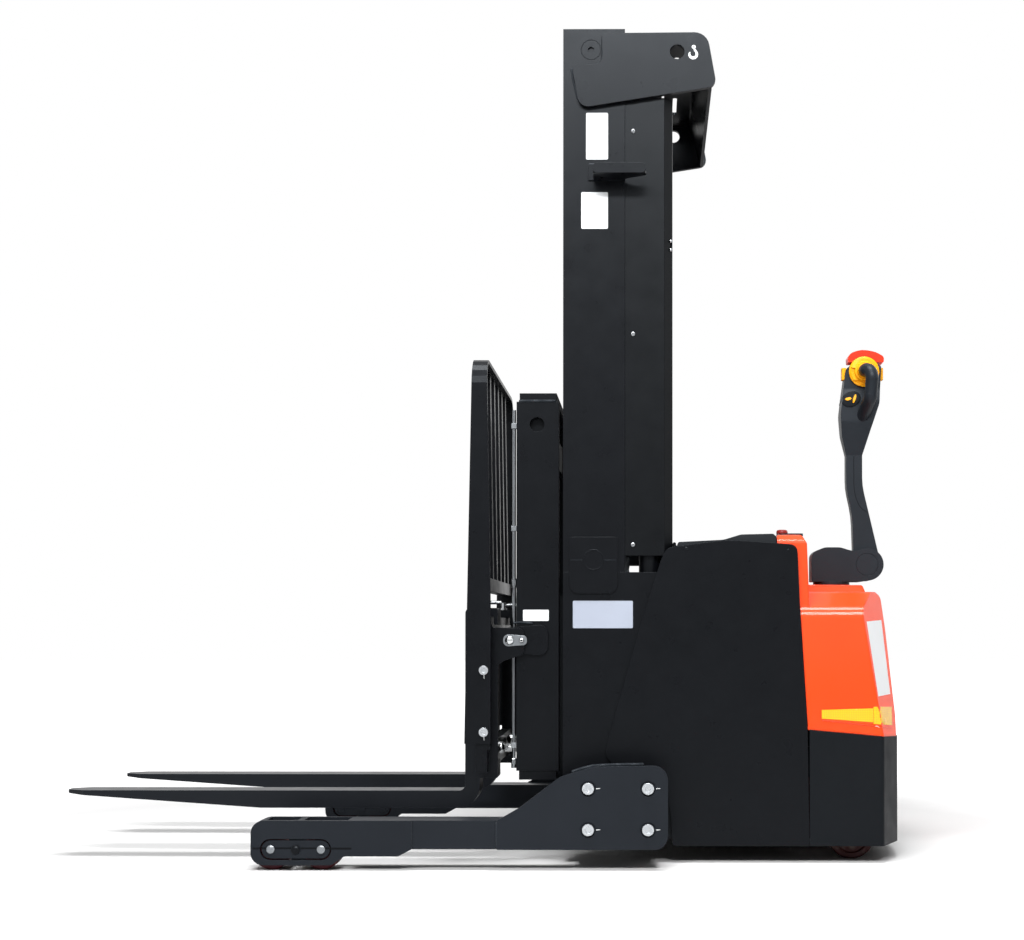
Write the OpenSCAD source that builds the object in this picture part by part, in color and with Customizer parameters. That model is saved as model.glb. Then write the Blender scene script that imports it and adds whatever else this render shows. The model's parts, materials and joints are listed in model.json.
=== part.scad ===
// Walkie straddle stacker: a two-stage mast, a tilting fork carriage, straddle legs with
// tandem load wheels, a battery and drive compartment, and a tiller with loop grips.
// Millimetres. +Z is up, the forks point to -X and the operator stands at +X.

/* [Forks] */
// Length of a fork from the front of its shank to its tip
fork_len = 1080; // [900:10:1220]
// Width of one fork
fork_w = 100; // [80:5:120]
// Thickness of the fork at its heel
fork_t = 47; // [35:1:55]
// Thickness of the fork at its tip
tip_t = 10; // [6:1:16]
// Length of the underside taper
taper_len = 530; // [300:10:700]
// Height of the fork's top above the floor
fork_top = 182; // [175:1:260]
// Thickness of the upright shank
shank_t = 40; // [30:1:50]
// Distance over both forks
fork_spread = 660; // [500:10:720]

/* [Straddle legs] */
// Clear width between the legs
straddle_inside = 980; // [960:5:1100]
// Width of one leg
leg_w = 105; // [95:1:120]
// Distance from the mast datum to the nose of the leg
leg_reach = 1025; // [900:5:1100]
// Height of the top of the leg
leg_h = 128; // [122:1:140]
// Height of the underside of the leg tube
leg_low = 55; // [45:1:65]
// Length of the wheel housing
housing_len = 411; // [380:1:450]
// Wall of the wheel housing's sides
housing_wall = 12; // [8:1:15]
// Load wheel diameter
wheel_d = 98; // [90:1:100]
// Load wheel tread width
wheel_w = 63; // [50:1:64]
// Distance between the two load wheel axles
wheel_pitch = 129; // [125:1:140]
// Axle radius of the load wheels
axle_r = 10; // [8:0.5:12]

/* [Mast] */
// Height of the lowered mast
mast_h = 2214; // [2100:1:2400]
// Width over the outer mast
mast_w = 830; // [800:1:860]
// Distance from the datum forward to the mast's front face
mast_reach = 236; // [220:1:250]
// Depth of the outer mast section
mast_depth = 164; // [160:1:170]
// Web thickness of the outer section
rail_web = 12; // [10:0.5:14]
// Flange thickness of the outer section
rail_flange = 20; // [18:1:22]
// Flange width of the outer section
rail_lip = 62; // [56:1:64]
// Web thickness of the inner section
inner_web = 10; // [8:0.5:12]
// Flange thickness of the inner section
inner_flange = 12; // [10:0.5:14]
// Width of the inner section
inner_w = 58; // [54:1:60]
// Radius of a lift cylinder's barrel
barrel_r = 30; // [27:0.5:32]
// Radius of a lift cylinder's rod
rod_r = 20; // [16:0.5:22]
// Distance between the two chains
chain_gap = 500; // [420:5:540]
// Groove radius of a chain sheave
sheave_r = 39; // [34:1:42]

/* [Lift carriage] */
// Height of the top of the two columns
column_top = 1225; // [1100:5:1300]
// Depth of a column
column_depth = 113; // [100:1:118]
// Width over both columns
column_span = 760; // [740:1:770]
// Height of the tilt hinge
tilt_z = 587; // [560:1:620]
// Radius of the tilt hinge pin
tilt_pin_r = 12; // [9:0.5:14]

/* [Fork carriage and backrest] */
// Height of the top of the backrest
backrest_h = 1333; // [1200:1:1500]
// Width of the backrest
backrest_w = 940; // [900:5:950]
// Number of upright bars in the backrest
slats = 6; // [4:1:8]
// Thickness of the carriage bars
bar_t = 30; // [24:1:32]

/* [Body] */
// Half width of the side covers and bumper
body_half = 430; // [425:1:440]
// Distance from the datum to the rear of the bumper
body_rear = 680; // [670:1:700]
// Height of the top of the frame's side plates
frame_top = 768; // [740:1:780]
// Height of the bumper's lower edge above the floor
ground_gap = 45; // [35:1:60]
// Height of the top of the hood's collar
collar_top = 868; // [860:1:875]
// Wall of the plastic shells
shell = 4; // [3:0.5:5]
// Drive wheel diameter
drive_d = 230; // [210:1:232]
// Drive wheel tread width
drive_w = 75; // [60:1:80]
// Caster wheel diameter
caster_d = 124; // [100:1:126]
// Distance between the two casters
caster_span = 610; // [600:5:620]

/* [Tiller] */
// Height of the tiller's hinge
hinge_z = 801; // [798:1:806]
// Distance from the steering axis back to the tiller's hinge
hinge_back = 99; // [90:1:105]
// Thickness of the tiller arm
arm_t = 44; // [36:1:46]
// Radius of a loop grip's tube
grip_r = 18; // [15:0.5:18]
// Radius of a throttle wheel
throttle_r = 43; // [38:1:45]

/* [Fits] */
// Gap between pieces that move past each other
gap = 0.3; // [0.25:0.05:0.5]
// Radial running clearance of a shaft in its bore
run = 0.05; // [0.02:0.01:0.1]
// Side clearance of the inner mast in the outer mast
slide = 2; // [1.5:0.1:2.5]

/* [Hidden] */
$fn = 48;
black = "#23282c";
steel = "#2a2f34";
orange = "#ff5a2c";
yellow = "#f6b52e";
zinc = "#b9bcc0";

// Stations along the machine, all measured from the mast datum
fork_face = -503.5;
fork_tip = fork_face - fork_len;
centre_x = (fork_tip + body_rear) / 2;
shank_back = fork_face + shank_t;
mast_x0 = -mast_reach;
mast_x1 = mast_x0 + mast_depth;
mast_mid = (mast_x0 + mast_x1) / 2;
hw = mast_w / 2;
rail_in = hw - rail_web;
eps = 1;

// Inner mast section
inner_half = (mast_depth - 2 * rail_flange) / 2 - slide;
inner_out = rail_in - slide;
inner_in = inner_out - inner_w;
web_y = inner_in + (inner_w - inner_web) / 2;
inner_low = 110;
inner_top = mast_h - 28;
crosshead_t = 16;
outer_roller_r = inner_half - inner_flange - 0.5;
inner_roller_r = mast_depth / 2 - rail_flange - 0.5;
roller_w = (inner_w - inner_web) / 2 - 3;
stub_r = 16;
roller_z = mast_h - 56;
inner_roller_z = inner_low + 65;

// Chains and sheaves
chain_t = 14;
chain_w = 26;
chain_link = 19.05;
sheave_flange = 11;
sheave_w = chain_w + 8;
sheave_x = mast_mid + 34;
sheave_z = inner_top - crosshead_t - sheave_r - sheave_flange - 6;
chain_pull = sheave_r + chain_t / 2 + gap;
front_chain_x = sheave_x - chain_pull;
rear_chain_x = sheave_x + chain_pull;
anchor_t = 18;
rear_anchor_z = frame_top - 28;
front_anchor_z = 476;
anchor_pin_r = 6;
anchor_rise = 20;

// Lift cylinders and mast covers
ram_x = -5;
ram_y = hw - 48;
ram_top = 1990;
cover_z0 = 812;
cover_z1 = 2030;
cover_rear = 55;
cover_t = 3;
cover_in = hw - 93;

// Lift carriage
column_x1 = mast_x0 - 13;
column_x0 = column_x1 - column_depth;
column_y1 = column_span / 2;
column_t = 42;
column_y0 = column_y1 - column_t;
column_low = 239;
plate_y1 = inner_in - 3;
plate_y0 = plate_y1 - 14;
roller_low_z = 290;
roller_high_z = 656;
tilt_x = column_x0 - 16;
lug_t = 12;
ram_tilt_z = 290;
ram_tilt_y = 200;
tilt_ball_r = 16;
tilt_rod_r = 12;
tilt_barrel_r = 26;

// Fork carriage
bar_x1 = shank_back + bar_t + 0.5;
bar_x0 = shank_back + 0.5;
bar_high = [560, 650];
bar_low = [240, 310];
hanger_y = column_y1 + lug_t + 2;
bar_half = backrest_w / 2 - 10;
backrest_bar = 10;
backrest_lean = [[-492, 316], [-423.5, 316], [-423.5, 690], [-434, 1335], [-473, 1335]];
backrest_bolt_z = [347, 509];
backrest_bolt_x = -441;
hook_t = 24;
lip_t = 11;

// Legs
leg_in = straddle_inside / 2;
leg_out = leg_in + leg_w;
plate_t = 16;
leg_nose = -leg_reach;
housing_x1 = leg_nose + housing_len;
axle_z = wheel_d / 2;
bogie_x = leg_nose + 115;
bogie_z = 54;
window_r = 27;
window_gap = 4;
bogie_t = 7;
pivot_r = 8;
hanger_t = 6;
leg_bolt_x = [-163, -10];
leg_bolt_z = [105, 210];
leg_bolt_r = 10;
bolt_head_r = 15;
bolt_head_h = 12;
arm_x = [-205, 22];
arm_z = [62, 245];

// Frame
side_t = 6;
tray_z = 92;
tray_t = 8;
bulkhead_x = -64;
wall_x = [58, 64];
rear_wall_x = 322;
bridge_z = 285;
bridge_t = 12;
steer_x = 515;
drive_neck_r = 70;

// Shells
seam_x = 415.5;
hood_half = body_half - 3;
chamfer_rake = 8.6;
chamfer_plan = 25;
cover_out = body_half;
lid_hinge = [61, 848];
knuckle_r = 5;
lid_x = [68, 330];
stem_r = 24;
platform_z = 743;
hinge_x = steer_x + hinge_back;
ear_r = 46;
tiller_pin_r = 12;
hub = [606, 1352];
disc_t = 12;
head_half = 32;
head_top = 1373;
cap_low = 1380;
grip_bend = 24;
button_w = 15;
button_z = [1332, 1366];
dash_z = collar_top + 7;
estop_x = 374;

// ---- Helpers -------------------------------------------------------------

function unit(v) = v / norm(v);
function turned(v, a) = [v.x * cos(a) - v.y * sin(a), v.x * sin(a) + v.y * cos(a)];

// Arc of radius r that rounds the corner p between its neighbours a and b
function corner(p, a, b, r) =
    let(
        u = unit(a - p),
        v = unit(b - p),
        half = acos(u * v) / 2,
        c = p + unit(u + v) * r / sin(half),
        start = p + u * r / tan(half) - c,
        sweep = (180 - 2 * half) * (cross(v, u) > 0 ? 1 : -1),
        steps = max(2, ceil(abs(sweep) / 15))
    )
    [for (i = [0:steps]) c + turned(start, sweep * i / steps)];

// Outline through [x, y, radius] points, each corner rounded by its own radius
function rounded(pts) =
    let(n = len(pts), p = [for (q = pts) [q[0], q[1]]])
    [for (i = [0:n - 1])
        each pts[i][2] > 0
            ? corner(p[i], p[(i + n - 1) % n], p[(i + 1) % n], pts[i][2])
            : [p[i]]];

function area(pts) =
    let(n = len(pts))
    sum_of([for (i = [0:n - 1])
        pts[i][0] * pts[(i + 1) % n][1] - pts[(i + 1) % n][0] * pts[i][1]]);
function sum_of(v, i = 0) = i < len(v) ? v[i] + sum_of(v, i + 1) : 0;

// The same outline drawn in by d, for the inside of a shell
function inset(pts, d) =
    let(n = len(pts), side = sign(area(pts)))
    [for (i = [0:n - 1])
        let(
            p = [pts[i][0], pts[i][1]],
            a = [pts[(i + n - 1) % n][0], pts[(i + n - 1) % n][1]],
            b = [pts[(i + 1) % n][0], pts[(i + 1) % n][1]],
            e1 = unit(p - a),
            e2 = unit(b - p),
            n1 = side * [-e1.y, e1.x],
            n2 = side * [-e2.y, e2.x],
            q = p + (n1 + n2) * d / (1 + n1 * n2),
            bulges = side * cross(e1, e2) > 0
        )
        [q.x, q.y, pts[i][2] == 0 ? 0 : max(0.5, pts[i][2] + (bulges ? -d : d))]];

function mirrored(pts) =
    concat(pts, [for (i = [len(pts) - 1:-1:0]) [pts[i][0], -pts[i][1], pts[i][2]]]);

// Moves a piece from the mast datum to the origin under the middle of the machine
module at_datum() {
    translate([-centre_x, 0, 0]) children();
}

module both() {
    children();
    mirror([0, 1, 0]) children();
}

module box(x, y, z) {
    translate([x[0], y[0], z[0]]) cube([x[1] - x[0], y[1] - y[0], z[1] - z[0]]);
}

// Side-view outline (x, z) extruded from y0 to y1
module slab(pts, y0, y1) {
    translate([0, y1, 0])
        rotate([90, 0, 0])
            linear_extrude(y1 - y0) polygon(rounded(pts));
}

// Plan outline (x, y) extruded from z0 to z1
module plan(pts, z0, z1) {
    translate([0, 0, z0]) linear_extrude(z1 - z0) polygon(rounded(pts));
}

// Front-view outline (y, z) extruded from x0 to x1
module front(pts, x0, x1) {
    translate([x0, 0, 0])
        rotate([90, 0, 90])
            linear_extrude(x1 - x0) polygon(rounded(pts));
}

module rod_y(x, z, r, y0, y1) {
    translate([x, y1, z]) rotate([90, 0, 0]) cylinder(r = r, h = y1 - y0);
}

module rod_x(y, z, r, x0, x1) {
    translate([x0, y, z]) rotate([0, 90, 0]) cylinder(r = r, h = x1 - x0);
}

module post(x, y, r, z0, z1) {
    translate([x, y, z0]) cylinder(r = r, h = z1 - z0);
}

// Rectangle of [x, z, radius] points for slab()
function pad(x, z, r) = [[x[0], z[0], r], [x[1], z[0], r], [x[1], z[1], r], [x[0], z[1], r]];

// ---- Chassis -------------------------------------------------------------

module chassis_frame() {
    color(black) at_datum() difference() {
        union() {
            both() {
                frame_side();
                stub_arm();
                anchor_bracket();
                box([rear_wall_x, steer_x + 60], [384, 392], [bridge_z - 60, bridge_z + 20]);
                box([430, 490], [380, body_half - shell - 2], [bridge_z, bridge_z + bridge_t]);
                lid_knuckle(230, 60);
            }
            box([bulkhead_x, bulkhead_x + 8], [-hw + 3, hw - 3], [arm_z[0], frame_top]);
            box([bulkhead_x, rear_wall_x + 8], [-hw + 3, hw - 3], [tray_z, tray_z + tray_t]);
            box(wall_x, [-hw + 3, hw - 3], [tray_z, lid_hinge[1] - 8]);
            box([rear_wall_x, rear_wall_x + 8], [-hw + 3, hw - 3], [tray_z, frame_top]);
            plan(bridge_outline(), bridge_z, bridge_z + bridge_t);
        }
        post(steer_x, 0, drive_neck_r + 5, 0, frame_top);
        both() {
            for (x = leg_bolt_x, z = leg_bolt_z)
                rod_y(x, z, leg_bolt_r + run, leg_out - plate_t - 70, leg_out);
            post(steer_x - 15, caster_span / 2, 15 + run, bridge_z - 5, bridge_z + 20);
        }
    }
}

module frame_side() {
    outline = [
        [mast_x0, arm_z[0], 0],
        [mast_x0, frame_top, 4],
        [rear_wall_x + 8, frame_top, 0],
        [rear_wall_x + 8, tray_z, 0],
        [120, arm_z[0], 0]
    ];
    slab(outline, hw - side_t, hw);
}

module stub_arm() {
    box(arm_x, [hw - side_t, leg_out - plate_t], arm_z);
}

module anchor_bracket() {
    y = chain_gap / 2;
    box([bulkhead_x - anchor_t - 2, bulkhead_x + 1], [y - 22, y + 22],
        [rear_anchor_z - 12, rear_anchor_z]);
    anchor_bolt(rear_chain_x, rear_anchor_z);
}

module lid_knuckle(y, w) {
    rod_y(lid_hinge[0], lid_hinge[1], knuckle_r, y, y + w);
    box(wall_x, [y, y + w], [lid_hinge[1] - 9, lid_hinge[1]]);
}

function bridge_outline() = mirrored([
    [rear_wall_x, 392, 0],
    [steer_x + 70, 392, 0],
    [body_rear - 50, 290, 20]
]);

module outer_mast() {
    tie_z = [mast_h - 176, mast_h - 116];
    color(black) at_datum() {
        both() difference() {
            union() {
                difference() {
                    box([mast_x0, mast_x1], [hw - rail_lip, hw], [arm_z[0] - 2, mast_h]);
                    box([mast_x0 + rail_flange, mast_x1 - rail_flange],
                        [0, rail_in], [0, mast_h + eps]);
                }
                step_bracket();
                base_plate();
                rod_y(mast_mid, roller_z, stub_r, inner_in + inner_w - roller_w - 2, rail_in + eps);
            }
            box([mast_x0 - eps, mast_x1 + eps], [hw - side_t, hw + eps], [0, frame_top]);
            shaft_disc(mast_mid - 8, roller_z);
        }
        both() box([mast_x1 - eps, mast_x1 + 18], [hw - rail_lip, hw - 6], tie_z);
        box([mast_x1 + 8, mast_x1 + 18], [-hw + 6, hw - 6], tie_z);
    }
}

// Flush end of the guide roller's shaft: a ring groove and a hexagon socket
module shaft_disc(x, z) {
    difference() {
        rod_y(x, z, 27, hw - 1, hw + eps);
        rod_y(x, z, 25.5, hw - 2, hw + 2);
    }
    translate([x, hw + eps, z]) rotate([90, 30, 0]) cylinder(r = 9, h = 7, $fn = 6);
}

module step_bracket() {
    step_z = mast_h - 405;
    x = [mast_mid - 1, mast_mid + 139];
    plan([[x[0], hw - 2, 0], [mast_x1, hw - 2, 0], [mast_x1, hw + 20, 0],
          [x[1], hw + 60, 10], [x[1], hw + 88, 14], [x[0], hw + 88, 14]],
         step_z, step_z + 6);
    box([x[0] - 14, mast_x1], [hw - 2, hw + 6], [step_z, step_z + 42]);
    slab(pad([x[0], x[1]], [step_z, step_z + 27], 12), hw + 82, hw + 88);
}

module base_plate() {
    x = [mast_mid - 65, mast_mid + 63];
    outline = [[x[0], 711, 25], [x[1], 711, 25], [x[1], 861, 6], [x[0], 861, 6]];
    slab(outline, hw - 0.5, hw + 6);
    difference() {
        rod_y(mast_mid - 1, 800, 28, hw, hw + 7);
        rod_y(mast_mid - 1, 800, 25, hw, hw + 8);
    }
}

module mast_top_plates() {
    outline = [
        [mast_mid + 21, mast_h - 16, 8],
        [146, mast_h - 14, 40],
        [172, mast_h - 158, 22],
        [mast_mid - 38, mast_h - 215, 28],
        [mast_mid - 59, mast_h - 101, 12],
        [mast_mid + 23, mast_h - 98, 22]
    ];
    // Bent sheet between the plates: a roof with two slots, and an upright at its rear
    brace = [
        [36, mast_h - 36, 0], [118, mast_h - 36, 10], [150, mast_h - 160, 0],
        [159, mast_h - 160, 0], [127, mast_h - 28, 18], [36, mast_h - 28, 0]
    ];
    color(black) at_datum() {
        both() difference() {
            slab(outline, hw, hw + plate_t);
            rod_y(67, mast_h - 66, 19.3, hw - eps, hw + plate_t + eps);
        }
        // A hair short of the plates, so that it stays a solid of its own beside them
        difference() {
            slab(brace, 0.3 - hw, hw - 0.3);
            both() plan(pad([62, 74], [105, 282], 5.5), mast_h - 50, mast_h - 20);
        }
    }
}

module mast_covers() {
    outer = [
        [mast_x1 + gap, hw - 2, 0], [cover_rear - 22, hw - 2, 3], [cover_rear, hw - 26, 6],
        [cover_rear, cover_in, 6], [mast_x1 + gap, cover_in, 0]
    ];
    inner = [
        [mast_x1 + 1, hw - 2 - cover_t, 0],
        [cover_rear - 22 - cover_t / 2, hw - 2 - cover_t, 2],
        [cover_rear - cover_t, hw - 26 - cover_t / 2, 4],
        [cover_rear - cover_t, cover_in + cover_t, 4],
        [mast_x1 + 1, cover_in + cover_t, 0]
    ];
    color(steel) at_datum() both() difference() {
        plan(outer, cover_z0, cover_z1);
        plan(inner, cover_z0 - eps, cover_z1 - cover_t);
        post(ram_x, ram_y, rod_r + 2, cover_z1 - 10, cover_z1 + eps);
        for (z = [840, 1400, 1940]) rod_y(-50, z, 5, hw - 4, hw);
        slab(pad([cover_rear - 6, cover_rear + eps], [1625, 1655], 0), hw - 40, hw);
    }
}

// Screen between the mast covers, punched with square holes
module mast_guard() {
    w = cover_in;
    z = [cover_z0 + 20, cover_z1 - 20];
    cols = 12;
    rows = 22;
    px = (2 * w - 50) / cols;
    pz = (z[1] - z[0] - 50) / rows;
    color(steel) at_datum() translate([cover_rear - 25, 0, 0]) rotate([90, 0, 90])
        linear_extrude(4) difference() {
            translate([-w, z[0]]) square([2 * w, z[1] - z[0]]);
            for (i = [0:cols - 1], j = [0:rows - 1])
                translate([-w + 25 + px * i + 3, z[0] + 25 + pz * j + 3])
                    square([px - 6, pz - 6]);
        }
}

module lift_cylinders() {
    color(steel) at_datum() both() difference() {
        union() {
            post(ram_x, ram_y, barrel_r, tray_z + tray_t, ram_top);
            post(ram_x, ram_y, barrel_r + 3, ram_top - 20, ram_top + 25);
            post(ram_x, ram_y, barrel_r + 3, tray_z + tray_t, tray_z + tray_t + 20);
            rod_y(ram_x, 160, 9, ram_y - barrel_r - 20, ram_y - barrel_r + 5);
        }
        post(ram_x, ram_y, barrel_r - 5, 130, ram_top - 5);
        post(ram_x, ram_y, rod_r + run, ram_top - 10, ram_top + 30);
    }
}

// ---- Straddle legs -------------------------------------------------------

module straddle_leg() {
    difference() {
        union() {
            box([housing_x1 - 6, arm_x[0]], [leg_in, leg_out - 6], [leg_low, leg_h]);
            slab(leg_plate_outline(), leg_out - plate_t, leg_out);
            wheel_housing();
        }
        for (x = leg_bolt_x, z = leg_bolt_z) {
            rod_y(x, z, leg_bolt_r + run, leg_out - plate_t - eps, leg_out + eps);
            rod_y(x, z, bolt_head_r + 5, leg_out - 5, leg_out + eps);
        }
    }
}

function leg_plate_outline() = [
    [-396, leg_low - 1, 0],
    [41, leg_low - 1, 35],
    [41, 269, 38],
    [-150, 266, 30],
    [-235, 240, 60],
    [-340, 160, 40],
    [-396, leg_h, 0]
];

module wheel_housing() {
    side = [
        [leg_nose, leg_h, 33],
        [leg_nose, 14, 31],
        [leg_nose + 205, 14, 12],
        [leg_nose + 240, 37, 12],
        [housing_x1 - 33, 37, 10],
        [housing_x1, leg_low, 4],
        [housing_x1, leg_h, 0]
    ];
    difference() {
        slab(side, leg_in, leg_out);
        box([leg_nose - eps, housing_x1 - 150],
            [leg_in + housing_wall, leg_out - housing_wall], [0, leg_h - 8]);
        box([leg_nose + 38, leg_nose + 118],
            [leg_in + housing_wall, leg_out - housing_wall], [leg_h - 9, leg_h + eps]);
        box([leg_nose + 134, leg_nose + 247],
            [leg_in + housing_wall, leg_out - housing_wall], [leg_h - 9, leg_h + eps]);
        for (y = [[leg_in - eps, leg_in + housing_wall + eps],
                  [leg_out - housing_wall - eps, leg_out + eps]])
            slab(window_outline(window_r), y[0], y[1]);
    }
    for (y = [leg_in + housing_wall + gap, leg_out - housing_wall - hanger_t - gap])
        box([bogie_x - 19, bogie_x + 19], [y, y + hanger_t], [bogie_z - 14, leg_h - 7]);
    rod_y(bogie_x, bogie_z, pivot_r, leg_in + 2, leg_out - 2);
    for (y = [[leg_in + 1, leg_in + 3.5], [leg_out - 3.5, leg_out - 1]])
        rod_y(bogie_x, bogie_z, pivot_r + 4, y[0], y[1]);
}

// Long oval round both axles
function window_outline(r) = [
    [bogie_x - wheel_pitch / 2 - r, bogie_z - r, r - 0.01],
    [bogie_x + wheel_pitch / 2 + r, bogie_z - r, r - 0.01],
    [bogie_x + wheel_pitch / 2 + r, bogie_z + r, r - 0.01],
    [bogie_x - wheel_pitch / 2 - r, bogie_z + r, r - 0.01]
];

module straddle_leg_far() {
    color(black) at_datum() straddle_leg();
}

module straddle_leg_near() {
    color(black) at_datum() mirror([0, 1, 0]) straddle_leg();
}

module bogie() {
    cheeks = [[leg_in + 4, leg_in + 4 + bogie_t], [leg_out - 4 - bogie_t, leg_out - 4]];
    difference() {
        union() {
            for (y = cheeks) slab(window_outline(window_r - window_gap), y[0], y[1]);
            for (s = [-0.5, 0.5])
                rod_y(bogie_x + s * wheel_pitch, axle_z, axle_r, leg_in + 2.5, leg_out - 2.5);
        }
        rod_y(bogie_x, bogie_z, pivot_r + run, leg_in, leg_out);
    }
}

module bogie_far() {
    color(steel) at_datum() bogie();
}

module bogie_near() {
    color(steel) at_datum() mirror([0, 1, 0]) bogie();
}

module load_wheel(x_side, y_side) {
    mid = y_side * (leg_in + leg_w / 2);
    color("#7a2420") at_datum()
        translate([bogie_x + x_side * wheel_pitch / 2, mid, axle_z])
            rotate([90, 0, 0])
                rotate_extrude() polygon([
                    [axle_r + run, -wheel_w / 2 - 1],
                    [axle_r + 9, -wheel_w / 2 - 1],
                    [axle_r + 9, -wheel_w / 2 + 3],
                    [wheel_d / 2 - 18, -wheel_w / 2 + 3],
                    [wheel_d / 2 - 16, -wheel_w / 2],
                    [wheel_d / 2 - 4, -wheel_w / 2],
                    [wheel_d / 2, -wheel_w / 2 + 4],
                    [wheel_d / 2, wheel_w / 2 - 4],
                    [wheel_d / 2 - 4, wheel_w / 2],
                    [wheel_d / 2 - 16, wheel_w / 2],
                    [wheel_d / 2 - 18, wheel_w / 2 - 3],
                    [axle_r + 9, wheel_w / 2 - 3],
                    [axle_r + 9, wheel_w / 2 + 1],
                    [axle_r + run, wheel_w / 2 + 1]
                ]);
}

module load_wheel_1() { load_wheel(-1, -1); }
module load_wheel_2() { load_wheel(1, -1); }
module load_wheel_3() { load_wheel(-1, 1); }
module load_wheel_4() { load_wheel(1, 1); }

module leg_bolts() {
    color(zinc) at_datum() both() for (x = leg_bolt_x, z = leg_bolt_z) difference() {
        union() {
            rod_y(x, z, leg_bolt_r, leg_out - plate_t - 50, leg_out - 4);
            rod_y(x, z, bolt_head_r, leg_out - 5, leg_out - 5 + bolt_head_h);
        }
        translate([x, leg_out + bolt_head_h, z]) rotate([90, 0, 0])
            cylinder(r = 8.5, h = bolt_head_h, $fn = 6);
    }
}

// ---- Shells --------------------------------------------------------------

function side_cover_outline() = [
    [40, 832, 24], [200, 853, 300], [384, 840, 20], [392, 652, 0], [410, 364, 0],
    [seam_x, ground_gap, 0], [arm_x[1] + 32, ground_gap, 10], [arm_x[1] + 28, 126, 60],
    [arm_x[1] + 8, arm_z[1] + 3, 14], [-20, arm_z[1] + 12, 10], [-106, arm_z[1] + 16, 22], [-122, 285, 20], [-116, 324, 60], [-32, 621, 0],
    [24, 800, 0]
];

module side_cover() {
    pts = side_cover_outline();
    difference() {
        slab(pts, hw + gap, cover_out);
        slab(inset(pts, 5), hw - eps, cover_out - shell);
    }
    for (x = [120, 220, 320])
        box([x, x + shell], [hw + gap, cover_out - 2], [ground_gap + 6, 700]);
}

module side_cover_far() {
    color(black) at_datum() side_cover();
}

module side_cover_near() {
    color(black) at_datum() mirror([0, 1, 0]) side_cover();
}

// Solid shape of the hood's body, drawn in by d
module hood_body(d) {
    front_x = rear_wall_x + 10 - (d > 0 ? eps : 0);
    low = d > 0 ? -20 : gap;
    top = mirrored([[front_x, hood_half - d, 0], [body_rear - 20 - d, hood_half - d, 0],
                    [body_rear - 24 - d, 300, 50], [body_rear - 18 - d, 120, 300]]);
    side = [
        [front_x, bumper_line(front_x) + low, 0],
        [front_x, platform_z - d, 0],
        [592 - d, platform_z - 2 - d, 8],
        [600 - d, platform_z - 24 - d, 8],
        [622 - d, platform_z - 37 - d, 26],
        [634 - d, 620, 120],
        [662 - d, bumper_line(662) + low, 0]
    ];
    shoulder = [
        [hood_half - d, 300, 0], [hood_half - d, 668 - d, 34],
        [340, platform_z - 26 - d, 30], [116, platform_z - 24 - d, 6],
        [104, platform_z - d, 6], [-104, platform_z - d, 6],
        [-116, platform_z - 24 - d, 6], [-340, platform_z - 26 - d, 30],
        [-hood_half + d, 668 - d, 34], [-hood_half + d, 300, 0]
    ];
    difference() {
        intersection() {
            plan(top, 0, mast_h);
            slab(side, -hood_half, hood_half);
            front(shoulder, 300, body_rear);
        }
        both() translate([612, hood_half, bumper_line(612)])
            rotate([0, -chamfer_rake, chamfer_plan])
                translate([-d, -400, -300]) cube([300, 800, 900]);
    }
}

// Upright collar between the battery lid and the tiller, drawn in by d
module hood_collar(d) {
    side = [
        [332 - eps * sign(d), 600, 0],
        [332 - eps * sign(d), collar_top - d, 6],
        [398 - d, collar_top - d, 14],
        [411 - d, collar_top - 24, 10],
        [420 - d, 600, 0]
    ];
    shape = [
        [hw - 2 - d, 590, 0], [hw - 2 - d, collar_top - 18 - d, 14],
        [hw - 22, collar_top - d, 14], [-hw + 22, collar_top - d, 14],
        [-hw + 2 + d, collar_top - 18 - d, 14], [-hw + 2 + d, 590, 0]
    ];
    intersection() {
        slab(side, -hw, hw);
        front(shape, 300, 500);
    }
}

module hood() {
    color(orange) at_datum() difference() {
        union() {
            hood_body(0);
            hood_collar(0);
        }
        hood_body(shell);
        hood_collar(shell);
        post(steer_x, 0, stem_r + 4, 700, 800);
        post(estop_x, 0, 8 + gap, collar_top - 10, collar_top + eps);
        for (z = [775:16:839])
            box([395, 430], [-150, 150], [z, z + 8]);
        both() {
            slab(inset(side_cover_outline(), -1.2), hw - 1.5, hood_half + eps);
            slab(reflector_outline(gap), hood_half - 2, hood_half + eps);
        }
    }
}

// Flat yellow strips let into the hood's sides
function reflector_outline(d) = [
    [448 - d, 381 - d, 0], [584 + d, 371 - d, 0], [584 + d, 408 + d, 0], [448 - d, 404 + d, 0]
];

module reflectors() {
    color(yellow) at_datum() both() slab(reflector_outline(0), hood_half - 2, hood_half - 0.4);
}

// Height of the seam between hood and bumper, which falls towards the rear
function bumper_line(x) = 351 - (x - seam_x) * 0.09;

function bumper_plan(d) = mirrored([
    [seam_x + 0.5 - (d > 0 ? eps : 0), body_half - d, 0], [611 - d / 2, body_half - d, 12],
    [664 - d, 300, 60], [body_rear - d, 120, 400]
]);

module bumper() {
    x = [seam_x - 5, body_rear + 5];
    top = [[x[0], 0, 0], [x[1], 0, 0], [x[1], bumper_line(x[1]), 0], [x[0], bumper_line(x[0]), 0]];
    color(steel) at_datum() difference() {
        intersection() {
            plan(bumper_plan(0), ground_gap, 400);
            slab(top, -body_half, body_half);
        }
        intersection() {
            plan(bumper_plan(shell + 2), 0, 400);
            translate([0, 0, -shell]) slab(top, -body_half, body_half);
        }
        plan(bumper_plan(shell + 26), 0, 400);
    }
}

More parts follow.
